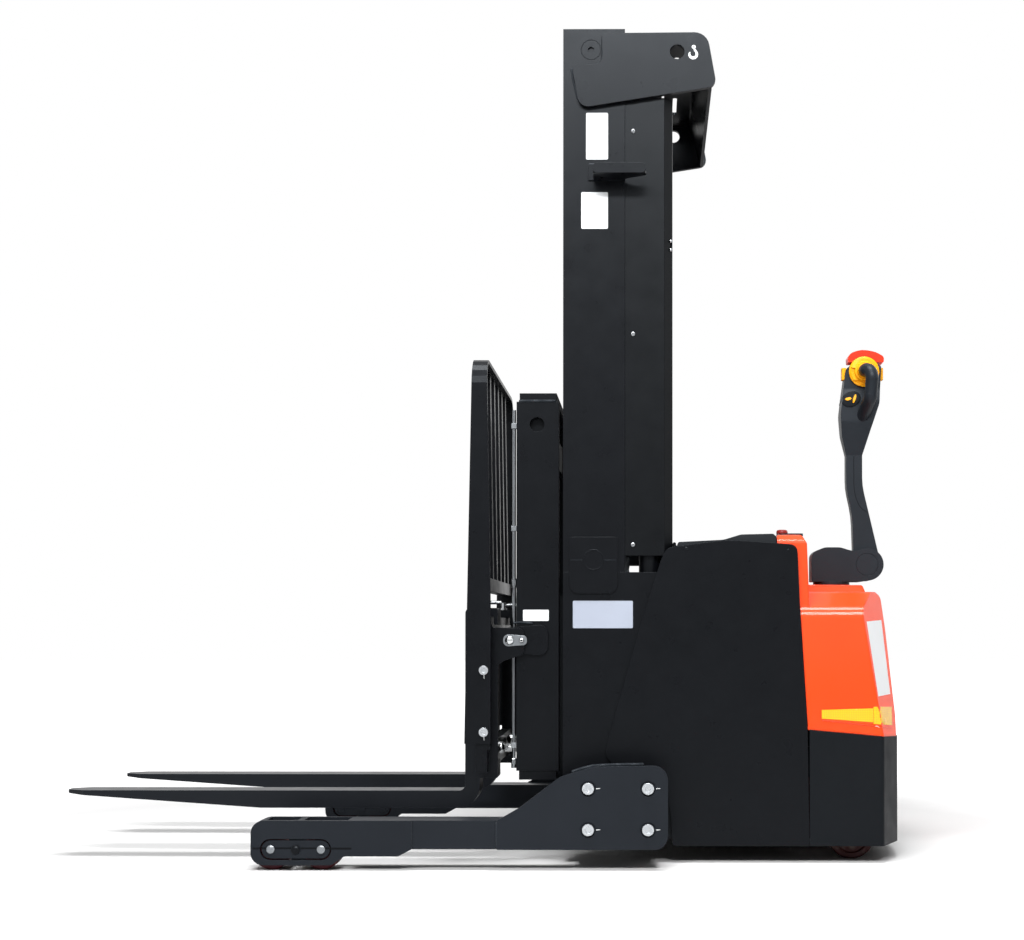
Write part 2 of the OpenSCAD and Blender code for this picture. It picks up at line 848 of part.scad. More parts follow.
module dash() {
    outline = [[342, -330, 12], [408, -330, 12], [408, 330, 12], [342, 330, 12]];
    color(black) at_datum() difference() {
        union() {
            plan(outline, collar_top, dash_z);
            post(estop_x, 170, 26, dash_z - eps, dash_z + 3);
            box([356, 396], [60, 130], [dash_z - eps, dash_z + 1.5]);
        }
        post(estop_x, 170, 22, dash_z + 1, dash_z + 4);
        post(estop_x, 0, 8 + gap, collar_top - 1, dash_z + 1);
    }
}

module emergency_stop() {
    color("#a01818") at_datum() translate([estop_x, 0, dash_z])
        rotate_extrude() polygon([
            [0, -6], [8, -6], [8, 5.5], [11, 6], [13, 9], [16, 12], [16.6, 20],
            [15, 25], [10, 27], [0, 27.5]
        ]);
}

module battery_lid() {
    top = [
        [lid_x[0], 790, 0], [lid_x[0], 848, 6], [190, 854, 60], [236, 868, 30],
        [lid_x[1] - 8, 870, 8], [lid_x[1], 862, 0], [lid_x[1], 820, 0],
        [lid_x[1] - 6.5, 790, 0]
    ];
    color(black) at_datum() {
        difference() {
            slab(top, -hw + 3, hw - 3);
            translate([0, 0, -eps]) slab(inset(top, 3), -hw + 6, hw - 6);
            box([lid_x[0] - 5, lid_x[1] + 5], [-hw, hw], [780, 800]);
            box([lid_x[1] - 45, lid_x[1] - 20], [-60, 60], [860, 880]);
        }
        both() {
            rod_y(lid_hinge[0], lid_hinge[1], knuckle_r, 230 - 30 - gap, 230 - gap);
            box([lid_hinge[0], lid_x[0] + 3], [200 - gap, 230 - gap],
                [lid_hinge[1] - 5, lid_hinge[1] - 1]);
            box([lid_x[0] + 2, lid_x[1] - 14], [hw - 6, hw - 3], [frame_top + gap, 801]);
        }
    }
}

// ---- Power ---------------------------------------------------------------

module battery() {
    cols = 2;
    rows = 6;
    x = [76, 312];
    y = [-330, 330];
    z = [tray_z + tray_t, 700];
    pitch_x = (x[1] - x[0] - 12) / cols;
    pitch_y = (y[1] - y[0] - 12) / rows;
    color("#3a3f45") at_datum() {
        difference() {
            box(x, y, z);
            box([x[0] + 6, x[1] - 6], [y[0] + 6, y[1] - 6], [z[1] - 30, z[1] + eps]);
            for (s = [-1, 1]) rod_x(s * 300, z[1] - 12, 7, x[0] - eps, x[1] + eps);
        }
        for (i = [0:cols - 1], j = [0:rows - 1]) {
            cx = x[0] + 6 + pitch_x * (i + 0.5);
            cy = y[0] + 6 + pitch_y * (j + 0.5);
            box([cx - pitch_x / 2 + 2, cx + pitch_x / 2 - 2],
                [cy - pitch_y / 2 + 2, cy + pitch_y / 2 - 2], [z[1] - 31, z[1] - 4]);
            post(cx, cy, 14, z[1] - 5, z[1] + 8);
            for (s = [-1, 1]) post(cx + s * 34, cy, 8, z[1] - 5, z[1] + 6);
        }
        box([x[0] + 60, x[1] - 60], [y[0] + 80, y[0] + 150], [z[1] - 5, z[1] + 38]);
    }
}

module hydraulic_unit() {
    z0 = bridge_z + bridge_t;
    color(steel) at_datum() {
        box([350, 560], [-372, -200], [z0, z0 + 120]);
        post(400, -286, 52, z0 + 120, z0 + 300);
        post(400, -286, 40, z0 + 300, z0 + 312);
        box([470, 545], [-330, -240], [z0 + 120, z0 + 190]);
        post(520, -220, 14, z0 + 120, z0 + 150);
    }
}

module controller() {
    z0 = bridge_z + bridge_t;
    color(zinc) at_datum() {
        box([350, 500], [220, 372], [z0, z0 + 40]);
        for (i = [0:8]) box([356 + i * 16, 362 + i * 16], [224, 368], [z0 + 40, z0 + 90]);
    }
}

// ---- Inner mast and chains -----------------------------------------------

module inner_rail() {
    x = [mast_mid - inner_half, mast_mid + inner_half];
    difference() {
        box(x, [inner_in, inner_out], [inner_low, inner_top]);
        for (y = [[inner_in - eps, web_y], [web_y + inner_web, inner_out + eps]])
            box([x[0] + inner_flange, x[1] - inner_flange], y, [0, mast_h]);
        box([x[0] - eps, x[1] + eps], [web_y + inner_web, inner_out + eps],
            [0, inner_roller_z + inner_roller_r + 6]);
    }
    rod_y(mast_mid, inner_roller_z, stub_r, web_y, inner_out);
}

module inner_mast() {
    x_rear = mast_mid + inner_half;
    plate = mirrored([
        [mast_mid - inner_half, inner_in + eps, 0], [mast_x1 + 10, inner_in + eps, 0],
        [mast_x1 + 10, hw - 15, 0], [ram_x + 34, hw - 15, 14]
    ]);
    color(steel) at_datum() {
        both() inner_rail();
        difference() {
            plan(plate, inner_top - crosshead_t, inner_top);
            plan([[-50, -150, 20], [-10, -150, 20], [-10, 150, 20], [-50, 150, 20]],
                 inner_top - 20, inner_top + 1);
        }
        for (z = [[inner_low + 10, inner_low + 130], [mast_h - 884, mast_h - 784],
                  [mast_h - 254, mast_h - 174]])
            box([x_rear - 11, x_rear + 3], [-inner_in - eps, inner_in + eps], z);
        both() {
            sheave_bracket();
            chain_wrap();
        }
    }
}

// The bend of the chain over the top of its sheave
module chain_wrap() {
    y = chain_gap / 2;
    r = sheave_r + gap;
    difference() {
        rod_y(sheave_x, sheave_z, r + chain_t, y - chain_w / 2, y + chain_w / 2);
        rod_y(sheave_x, sheave_z, r, y - chain_w, y + chain_w);
        box([sheave_x - 100, sheave_x + 100], [y - chain_w, y + chain_w],
            [sheave_z - 100, sheave_z + gap]);
    }
    box([sheave_x - 6, sheave_x + 6], [y - sheave_w / 2 - 5, y + sheave_w / 2 + 5],
        [sheave_z + r + chain_t - 1, inner_top - crosshead_t + 1]);
}

module sheave_bracket() {
    y = chain_gap / 2;
    for (s = [[y - sheave_w / 2 - 9, y - sheave_w / 2 - gap],
              [y + sheave_w / 2 + gap, y + sheave_w / 2 + 9]])
        slab([[sheave_x - 24, inner_top - crosshead_t + 1, 0],
              [sheave_x + 24, inner_top - crosshead_t + 1, 0],
              [sheave_x + 20, sheave_z - 22, 16], [sheave_x - 20, sheave_z - 22, 16]],
             s[0], s[1]);
    rod_y(sheave_x, sheave_z, 12, y - sheave_w / 2 - 12, y + sheave_w / 2 + 12);
}

module chain_sheaves() {
    color(zinc) at_datum() both() translate([sheave_x, chain_gap / 2, sheave_z])
        rotate([90, 0, 0]) rotate_extrude() polygon([
            [12 + run, -sheave_w / 2], [sheave_r + sheave_flange, -sheave_w / 2],
            [sheave_r + sheave_flange, -sheave_w / 2 + 3], [sheave_r, -sheave_w / 2 + 3.5],
            [sheave_r, sheave_w / 2 - 3.5], [sheave_r + sheave_flange, sheave_w / 2 - 3],
            [sheave_r + sheave_flange, sheave_w / 2], [12 + run, sheave_w / 2]
        ]);
}

// One straight run of leaf chain: link plates with waists, cut in one outline
module chain_run(x, z0, z1) {
    n = floor((z1 - z0) / chain_link);
    half = chain_t / 2;
    right = [for (i = [0:n - 1]) each [
        [x + half, z0 + i * chain_link + 4, 0],
        [x + half, z0 + i * chain_link + chain_link - 5, 0],
        [x + half - 2.5, z0 + (i + 1) * chain_link - 0.5, 0]
    ]];
    left = [for (i = [len(right) - 1:-1:0]) [2 * x - right[i][0], right[i][1], 0]];
    outline = concat([[x - half, z0, 0], [x + half, z0, 0]], right,
                     [[x + half - 2.5, z1, 0], [x - half + 2.5, z1, 0]], left);
    slab(outline, chain_gap / 2 - chain_w / 2, chain_gap / 2 + chain_w / 2);
}

// Threaded chain end with its nut, through a bar whose top is at z
module anchor_bolt(x, z) {
    y = chain_gap / 2;
    post(x, y, anchor_pin_r, z - 40, z + anchor_rise);
    post(x, y, anchor_pin_r + 3, z - 24, z - 11);
}

module rear_chains() {
    color("#4a4d50") at_datum() both()
        chain_run(rear_chain_x, rear_anchor_z + anchor_rise + gap, sheave_z);
}

module front_chains() {
    color("#4a4d50") at_datum() both()
        chain_run(front_chain_x, front_anchor_z + anchor_rise + gap, sheave_z);
}

module lift_rods() {
    color("#d4d7da") at_datum() both()
        post(ram_x, ram_y, rod_r, 300, inner_top - crosshead_t);
}

module guide_roller(x, z, r, bore, y0) {
    translate([x, y0 + roller_w, z]) rotate([90, 0, 0]) rotate_extrude() polygon([
        [bore, 0], [r - 3, 0], [r, 3], [r, roller_w - 3], [r - 3, roller_w], [bore, roller_w]
    ]);
}

module outer_mast_rollers() {
    color(zinc) at_datum() both()
        guide_roller(mast_mid, roller_z, outer_roller_r, stub_r + run, inner_out - roller_w - 1);
}

module inner_mast_rollers() {
    color(zinc) at_datum() both()
        guide_roller(mast_mid, inner_roller_z, inner_roller_r, stub_r + run,
                     web_y + inner_web + 1);
}

// ---- Lift carriage -------------------------------------------------------

module lift_carriage() {
    color(black) at_datum() {
        both() difference() {
            union() {
                box([column_x0, column_x1], [column_y0, column_y1], [column_low, column_top]);
                box([column_x0 + 7, column_x1 - 7], [column_y0 + 4, column_y1 - 4],
                    [column_low - 24, column_low + eps]);
                slab(roller_plate_outline(), plate_y0, column_y0 + eps);
                slab(tilt_lug_outline(), column_y1 - eps, column_y1 + lug_t);
                for (z = [roller_low_z, roller_high_z])
                    rod_y(mast_mid, z, stub_r, plate_y0, web_y - 1);
            }
            rod_y(-307, column_top - 61, 19.5, column_y1 - 30, column_y1 + eps);
            rod_y(tilt_x, tilt_z, tilt_pin_r, column_y1 - 5, column_y1 + lug_t + eps);
        }
        box([column_x0 + 8, column_x1 - 6], [-column_y1 + 4, column_y1 - 4],
            [column_top - eps, column_top + 23]);
        box([column_x0 + 20, column_x1 - 20], [-column_y0 - eps, column_y0 + eps],
            [column_top - 145, column_top - 65]);
        box([column_x0 + 30, column_x1 - 20], [-column_y0 - eps, column_y0 + eps],
            [tilt_z - 35, tilt_z + 35]);
        box([-300, -260], [-column_y0 - eps, column_y0 + eps], [column_low, 340]);
        both() {
            box([front_chain_x - 16, front_chain_x + 16], [chain_gap / 2 - 24, plate_y0 + eps],
                [front_anchor_z - 12, front_anchor_z]);
            anchor_bolt(front_chain_x, front_anchor_z);
        }
    }
}

function roller_plate_outline() = [
    [column_x0 + 30, column_low + 4, 0],
    [mast_mid + 40, column_low + 4, 30],
    [mast_mid + 40, roller_low_z + 50, 30],
    [mast_mid + 8, roller_low_z + 90, 50],
    [mast_mid + 8, roller_high_z - 90, 50],
    [mast_mid + 40, roller_high_z - 50, 30],
    [mast_mid + 40, roller_high_z + 50, 30],
    [column_x0 + 30, roller_high_z + 50, 0]
];

function tilt_lug_outline() = [
    [column_x0 - 38, tilt_z - 33, 12],
    [column_x0 + 85, tilt_z - 41, 24],
    [column_x0 + 85, tilt_z + 43, 24],
    [column_x0 - 38, tilt_z + 32, 12]
];

module hydraulic_tubes() {
    x = column_x0 - 8;
    y = column_y0 + 17;
    color("#8d9298") at_datum() both() {
        post(x, y, 5, column_low + 6, column_top - 20);
        post(x, y, 7.5, 728, 752);
        post(x, y, 7.5, column_low + 6, column_low + 30);
        for (z = [column_low + 60, 880, column_top - 70])
            box([x - 7, column_x0], [y - 9, y + 9], [z, z + 14]);
    }
}

module tilt_cylinders() {
    color(steel) at_datum() both() difference() {
        union() {
            rod_x(ram_tilt_y, ram_tilt_z, tilt_barrel_r, column_x0 + 10, -300);
            rod_x(ram_tilt_y, ram_tilt_z, tilt_barrel_r + 3, column_x0 + 4, column_x0 + 16);
        }
        rod_x(ram_tilt_y, ram_tilt_z, tilt_rod_r + run, column_x0, -300 + eps);
    }
}

module tilt_rods() {
    ball_x = bar_x1 + gap + tilt_ball_r;
    color("#d4d7da") at_datum() both() {
        rod_x(ram_tilt_y, ram_tilt_z, tilt_rod_r, ball_x, column_x0 + 46);
        translate([ball_x, ram_tilt_y, ram_tilt_z]) sphere(r = tilt_ball_r);
    }
}

module pivot_pins() {
    color("#d4d7da") at_datum() both() {
        rod_y(tilt_x, tilt_z, tilt_pin_r, column_y1 - 4, hanger_y + lug_t + 6);
        slab([[tilt_x - 17, tilt_z - 17, 14], [tilt_x + 46, tilt_z - 12, 10],
              [tilt_x + 46, tilt_z + 12, 10], [tilt_x - 17, tilt_z + 17, 14]],
             hanger_y + lug_t + gap, hanger_y + lug_t + 4);
        rod_y(tilt_x + 32, tilt_z, 8, hanger_y + lug_t + 3, hanger_y + lug_t + 9);
    }
}

module upper_rollers() {
    color(zinc) at_datum() both()
        guide_roller(mast_mid, roller_high_z, outer_roller_r, stub_r + run, plate_y1 + 3.5);
}

module lower_rollers() {
    color(zinc) at_datum() both()
        guide_roller(mast_mid, roller_low_z, outer_roller_r, stub_r + run, plate_y1 + 3.5);
}

// ---- Fork carriage -------------------------------------------------------

module fork_carriage() {
    hanger = [
        [bar_x1 - eps, bar_low[0], 0],
        [bar_x1 + 24, bar_low[0], 8],
        [bar_x1 + 24, tilt_z - 60, 20],
        [tilt_x + 38, tilt_z - 37, 12],
        [tilt_x + 38, tilt_z + 32, 14],
        [bar_x1 + 10, tilt_z + 34, 10],
        [bar_x1 - eps, bar_high[1] - 5, 0]
    ];
    color(black) at_datum() {
        for (z = [bar_high, bar_low])
            box([bar_x0, bar_x1], [-bar_half, bar_half], z);
        both() {
            difference() {
                slab(hanger, hanger_y, hanger_y + lug_t);
                rod_y(tilt_x, tilt_z, tilt_pin_r + run, hanger_y - eps, hanger_y + lug_t + eps);
            }
            box([bar_x0, bar_x1], [hanger_y, hanger_y + lug_t], [bar_low[1] - 1, bar_high[0] + 1]);
            difference() {
                box([bar_x0, bar_x1 + 8], [bar_half - 10, bar_half], [300, bar_high[0] + 5]);
                for (z = backrest_bolt_z)
                    rod_y(backrest_bolt_x, z, 8 + run, bar_half - 15, bar_half + eps);
            }
        }
    }
}

// Leaning side view of the backrest, narrower by d front and back
function lean_outline(d) = [
    [backrest_lean[0][0] + d, backrest_lean[0][1], 0],
    [backrest_lean[1][0] - d, backrest_lean[1][1], 0],
    [backrest_lean[2][0] - d, backrest_lean[2][1], 0],
    [backrest_lean[3][0] - d, backrest_h + 2, 0],
    [backrest_lean[4][0] + d, backrest_h + 2, 0]
];

module backrest() {
    half = backrest_w / 2;
    ring = [[-half, 0, 0], [-half, backrest_h, 68], [half, backrest_h, 68], [half, 0, 0]];
    hole = [
        [-half + backrest_bar, -5, 0], [-half + backrest_bar, backrest_h - backrest_bar, 58],
        [half - backrest_bar, backrest_h - backrest_bar, 58], [half - backrest_bar, -5, 0]
    ];
    pitch = (backrest_w - 2 * backrest_bar) / (slats + 1);
    color(black) at_datum() difference() {
        union() {
            intersection() {
                slab(lean_outline(0), -half, half);
                difference() {
                    front(ring, -600, -300);
                    front(hole, -601, -299);
                }
            }
            intersection() {
                slab(lean_outline(14), -half, half);
                union() {
                    for (i = [1:slats])
                        box([-600, -300], [-half + backrest_bar + pitch * i - 16,
                            -half + backrest_bar + pitch * i + 16], [720, backrest_h - 5]);
                    box([-600, -300], [-half + 5, half - 5], [720, 755]);
                }
            }
        }
        both() for (z = backrest_bolt_z)
            rod_y(backrest_bolt_x, z, 8 + run, half - backrest_bar - eps, half + eps);
    }
}

module backrest_bolts() {
    half = backrest_w / 2;
    color(zinc) at_datum() both() for (z = backrest_bolt_z) {
        rod_y(backrest_bolt_x, z, 8, bar_half - 12, half + 1);
        difference() {
            rod_y(backrest_bolt_x, z, 12, half + gap, half + 10);
            translate([backrest_bolt_x, half + 11, z]) rotate([90, 0, 0])
                cylinder(r = 6.5, h = 7, $fn = 6);
        }
    }
}

function fork_outline() = [
    [fork_tip, fork_top, 0],
    [fork_tip, fork_top - tip_t, 4],
    [fork_tip + taper_len, fork_top - fork_t, 0],
    [shank_back, fork_top - fork_t, 60],
    [shank_back, bar_low[0] - gap - hook_t, 0],
    [bar_x1 + 6 + lip_t, bar_low[0] - gap - hook_t, 3],
    [bar_x1 + 6 + lip_t, bar_low[0] + 20, 2],
    [bar_x1 + 6, bar_low[0] + 20, 2],
    [bar_x1 + 6, bar_low[0] - gap, 0],
    [shank_back, bar_low[0] - gap, 0],
    [shank_back, bar_high[1] + gap, 0],
    [bar_x1 + 6, bar_high[1] + gap, 0],
    [bar_x1 + 6, bar_high[1] - 22, 2],
    [bar_x1 + 6 + lip_t, bar_high[1] - 22, 2],
    [bar_x1 + 6 + lip_t, bar_high[1] + hook_t, 6],
    [fork_face, bar_high[1] + hook_t, 14],
    [fork_face, fork_top, 16]
];

module fork() {
    y0 = fork_spread / 2 - fork_w;
    corner_cut = fork_w * 0.3;
    difference() {
        slab(fork_outline(), y0, y0 + fork_w);
        post((bar_x0 + bar_x1) / 2, y0 + fork_w / 2, 6 + run, bar_high[1], bar_high[1] + 40);
        for (s = [[y0 - eps, y0 + corner_cut], [y0 + fork_w + eps, y0 + fork_w - corner_cut]])
            translate([0, 0, fork_top - 60]) linear_extrude(80) polygon([
                [fork_tip - eps, s[0]], [fork_tip + corner_cut * 1.6, s[0]],
                [fork_tip - eps, s[1]]
            ]);
    }
}

module fork_far() {
    color("#2b2f33") at_datum() fork();
}

module fork_near() {
    color("#2b2f33") at_datum() mirror([0, 1, 0]) fork();
}

module fork_lock() {
    x = (bar_x0 + bar_x1) / 2;
    y = fork_spread / 2 - fork_w / 2;
    top = bar_high[1] + hook_t;
    post(x, y, 6, bar_high[1] + gap, top + 22);
    post(x, y, 9, top + gap, top + 6);
    rod_x(y, top + 15, 5, x, x + 38);
}

module fork_lock_far() {
    color(zinc) at_datum() fork_lock();
}

module fork_lock_near() {
    color(zinc) at_datum() mirror([0, 1, 0]) fork_lock();
}

// ---- Drive and casters ---------------------------------------------------

module drive_unit() {
    z_bridge = bridge_z + bridge_t;
    color(steel) at_datum() difference() {
        union() {
            post(steer_x, 0, drive_neck_r, bridge_z - 50, z_bridge + 1);
            post(steer_x, 0, drive_neck_r + 22, z_bridge + gap, z_bridge + 22);
            post(steer_x, 0, 66, z_bridge + 20, 520);
            post(steer_x, 0, 50, 519, 560);
            post(steer_x, 0, stem_r - 4, 559, platform_z + 8);
            slab([[steer_x - 50, axle_gear_z(), 40], [steer_x + 50, axle_gear_z(), 40],
                  [steer_x + 62, bridge_z - 30, 6], [steer_x - 62, bridge_z - 30, 6]],
                 drive_w / 2 + 4, drive_w / 2 + 48);
            post(steer_x, 0, drive_neck_r + 16, drive_d + 6, bridge_z - gap);
            rod_y(steer_x, drive_d / 2, 20, -drive_w / 2 - 4, drive_w / 2 + 10);
        }
        box([steer_x - 200, steer_x + 200], [-drive_w / 2 - 3, drive_w / 2 + 3],
            [drive_d / 2 + 21, drive_d + 5]);
    }
}

function axle_gear_z() = drive_d / 2 - 50;

module drive_wheel() {
    color("#5c2a22") at_datum() translate([steer_x, 0, drive_d / 2]) rotate([90, 0, 0])
        rotate_extrude() polygon([
            [20 + run, -drive_w / 2], [drive_d / 2 - 24, -drive_w / 2 + 4],
            [drive_d / 2 - 20, -drive_w / 2], [drive_d / 2 - 5, -drive_w / 2],
            [drive_d / 2, -drive_w / 2 + 5], [drive_d / 2, drive_w / 2 - 5],
            [drive_d / 2 - 5, drive_w / 2], [drive_d / 2 - 20, drive_w / 2],
            [drive_d / 2 - 24, drive_w / 2 - 4], [20 + run, drive_w / 2]
        ]);
}

caster_x = steer_x - 15;
caster_y = caster_span / 2;
caster_trail = 36;

module caster_yoke() {
    r = caster_d / 2;
    cheek = [
        [caster_x - 26, bridge_z - 70, 6], [caster_x + 44, bridge_z - 70, 6],
        [caster_x + caster_trail + 16, r - 16, 15], [caster_x + caster_trail - 16, r - 16, 15]
    ];
    post(caster_x, caster_y, 15, bridge_z - 45, bridge_z + bridge_t - gap);
    post(caster_x, caster_y, 40, bridge_z - 60, bridge_z - gap);
    plan([[caster_x - 26, caster_y - 40, 6], [caster_x + 44, caster_y - 40, 6],
          [caster_x + 44, caster_y + 40, 6], [caster_x - 26, caster_y + 40, 6]],
         bridge_z - 78, bridge_z - 59);
    for (y = [[caster_y - 38, caster_y - 30], [caster_y + 30, caster_y + 38]])
        slab(cheek, y[0], y[1]);
    rod_y(caster_x + caster_trail, r, 8, caster_y - 42, caster_y + 42);
}

module caster_wheel() {
    r = caster_d / 2;
    translate([caster_x + caster_trail, caster_y, r]) rotate([90, 0, 0])
        rotate_extrude() polygon([
            [8 + run, -27], [18, -27], [18, -22], [r - 18, -20], [r - 15, -25], [r - 4, -25],
            [r, -20], [r, 20], [r - 4, 25], [r - 15, 25], [r - 18, 20], [18, 22], [18, 27],
            [8 + run, 27]
        ]);
}

module caster_yoke_far() {
    color(steel) at_datum() caster_yoke();
}

module caster_yoke_near() {
    color(steel) at_datum() mirror([0, 1, 0]) caster_yoke();
}

module caster_wheel_far() {
    color("#5c2a22") at_datum() caster_wheel();
}

module caster_wheel_near() {
    color("#5c2a22") at_datum() mirror([0, 1, 0]) caster_wheel();
}

// ---- Tiller --------------------------------------------------------------

module tiller_base() {
    outline = [
        [steer_x - 60, 752, 3], [steer_x - 60, 835, 22], [steer_x - 22, 850, 30],
        [steer_x + 22, 850, 40], [steer_x + 60, 838, 60], [hinge_x, hinge_z + ear_r, 0],
        [hinge_x, hinge_z - ear_r, 0], [hinge_x - 20, 752, 0]
    ];
    color(black) at_datum() difference() {
        union() {
            slab(outline, -arm_t / 2 - 23, arm_t / 2 + 23);
            rod_y(hinge_x, hinge_z, ear_r, -arm_t / 2 - 23, arm_t / 2 + 23);
            post(steer_x, 0, 52, platform_z + gap, 753);
        }
        difference() {
            box([hinge_x - 48, hinge_x + 60], [-arm_t / 2 - 0.8, arm_t / 2 + 0.8], [700, 900]);
            rod_y(hinge_x, hinge_z, tiller_pin_r, -arm_t, arm_t);
        }
        post(steer_x, 0, stem_r - 4, 700, platform_z + 8);
        both() difference() {
            rod_y(hinge_x - 1, hinge_z, 32, arm_t / 2 + 22, arm_t / 2 + 24);
            rod_y(hinge_x - 1, hinge_z, 30.5, arm_t / 2 + 21, arm_t / 2 + 25);
        }
    }
}

module tiller_arm() {
    outline = [
        [hinge_x - 36, hinge_z - 6, 0], [hinge_x - 41, 942, 300], [hinge_x - 58, 1022, 200],
        [hinge_x - 58, 1114, 0], [hinge_x - 12, 1114, 0], [hinge_x - 12, 1027, 200],
        [hinge_x + 7, 947, 300], [hinge_x + 38, hinge_z + 14, 0]
    ];
    color(black) at_datum() difference() {
        union() {
            slab(outline, -arm_t / 2, arm_t / 2);
            rod_y(hinge_x, hinge_z, ear_r - 5, -arm_t / 2, arm_t / 2);
        }
        rod_y(hinge_x, hinge_z, tiller_pin_r + run, -arm_t, arm_t);
    }
}

function head_outline() = [
    [556, 1114, 0], [602, 1114, 0], [626, 1190, 60], [650, 1262, 60], [656, head_top, 8],
    [572, head_top, 16], [555, head_top - 12, 14], [547, 1300, 80], [539, 1230, 80],
    [543, 1170, 80]
];

module tiller_head() {
    face = [
        [22, 1114, 0], [38, 1210, 60], [38, 1270, 60], [head_half, hub[1] - throttle_r - 6, 30],
        [head_half, head_top, 8], [-head_half, head_top, 8], [-head_half, hub[1] - throttle_r - 6, 30],
        [-38, 1270, 60], [-38, 1210, 60], [-22, 1114, 0]
    ];
    color(black) at_datum() difference() {
        union() {
            intersection() {
                slab(head_outline(), -60, 60);
                front(face, 500, 700);
            }
            both() bent_tube([
                [hub[0], head_half - 8, hub[1]], [hub[0], 86, hub[1]], [622, 112, 1344],
                [617, 98, 1272], [602, 24, 1222]
            ], grip_r, grip_bend);
        }
        post(610, 0, 8 + gap, cap_low - 24, cap_low);
        box([530, 566], [-button_w - gap, button_w + gap], button_z - [gap, -gap]);
        box([640, 690], [-button_w - gap, button_w + gap], button_z - [gap, -gap]);
    }
}

// Round tube of radius r along straight legs, with a moulded elbow at each corner that
// stands a little proud of the legs and takes their ends
module bent_tube(pts, r, bend) {
    n = len(pts);
    cut = [for (i = [0:n - 1]) i == 0 || i == n - 1 ? 0
        : bend * tan(acos(unit(pts[i] - pts[i - 1]) * unit(pts[i + 1] - pts[i])) / 2)];
    for (i = [0:n - 2]) {
        u = unit(pts[i + 1] - pts[i]);
        length = norm(pts[i + 1] - pts[i]) - cut[i] - cut[i + 1] + 2 * eps;
        translate(pts[i] + u * (cut[i] - eps))
            rotate([0, acos(u.z), atan2(u.y, u.x)])
                cylinder(r = r, h = length);
    }
    for (i = [1:n - 2]) {
        u = unit(pts[i] - pts[i - 1]);
        v = unit(pts[i + 1] - pts[i]);
        axis = unit(cross(u, v));
        out = unit(cross(u, axis));
        centre = pts[i] - u * cut[i] - out * bend;
        multmatrix([
            [out.x, u.x, axis.x, centre.x],
            [out.y, u.y, axis.y, centre.y],
            [out.z, u.z, axis.z, centre.z],
            [0, 0, 0, 1]
        ])
            rotate_extrude(angle = acos(u * v)) translate([bend, 0]) circle(r = r + 0.3);
    }
}

module throttle() {
    color(yellow) at_datum() both() translate([hub[0], head_half + gap, hub[1]])
        rotate([-90, 0, 0]) difference() {
            rotate_extrude() polygon([
                [grip_r + run, 0], [throttle_r - 2, 0], [throttle_r, 3], [throttle_r, 8],
                [throttle_r - 6, disc_t], [grip_r + 12, disc_t], [grip_r + 8, disc_t + 6],
                [grip_r + run, disc_t + 6]
            ]);
            translate([0, 32, disc_t + 1]) rotate([0, 90, 0])
                cylinder(r = 7, h = 120, center = true);
        }
}

module belly_switch() {
    outline = [
        [562, cap_low, 3], [560, 1396, 14], [572, 1408, 20], [600, 1417, 60],
        [640, 1410, 60], [664, 1396, 12], [663, cap_low, 3]
    ];
    color("#f0402c") at_datum() {
        slab(outline, -head_half + 1, head_half - 1);
        post(610, 0, 8, cap_low - 16, cap_low + 1);
    }
}

module thumb_button(x) {
    box(x, [-button_w, button_w], button_z);
}

module horn_button() {
    color(yellow) at_datum() thumb_button([545, 558]);
}

module creep_button() {
    color(yellow) at_datum() thumb_button([648, 663]);
}

// ---- Assembly ------------------------------------------------------------

chassis_frame();
outer_mast();
mast_top_plates();
mast_covers();
mast_guard();
lift_cylinders();
straddle_leg_near();
straddle_leg_far();
leg_bolts();
side_cover_near();
side_cover_far();
hood();
bumper();
battery();
hydraulic_unit();
controller();
dash();
reflectors();
rear_chains();
inner_mast();
lift_rods();
front_chains();
outer_mast_rollers();
inner_mast_rollers();
chain_sheaves();
lift_carriage();
hydraulic_tubes();
tilt_cylinders();
pivot_pins();
upper_rollers();
lower_rollers();
fork_carriage();
backrest();
backrest_bolts();
tilt_rods();
fork_near();
fork_far();
fork_lock_near();
fork_lock_far();
bogie_near();
bogie_far();
load_wheel_1();
load_wheel_2();
load_wheel_3();
load_wheel_4();
drive_unit();
tiller_base();
drive_wheel();
caster_yoke_near();
caster_yoke_far();
caster_wheel_near();
caster_wheel_far();
tiller_arm();
tiller_head();
throttle();
belly_switch();
horn_button();
creep_button();
emergency_stop();
battery_lid();
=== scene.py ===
"""Looks of the walkie straddle stacker: finishes, small fittings, studio and camera.

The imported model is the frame. Every size below is in millimetres on the vehicle's own datum
(X towards the tiller, Y away from the camera, Z up from the floor) until Blank.piece() turns
it into the frame's metres.
"""
import json
import logging
import math
from dataclasses import dataclass
from enum import Enum
from itertools import pairwise
from typing import Callable, Sequence

import bmesh
import bpy
from mathutils import Matrix, Vector
from mathutils.bvhtree import BVHTree


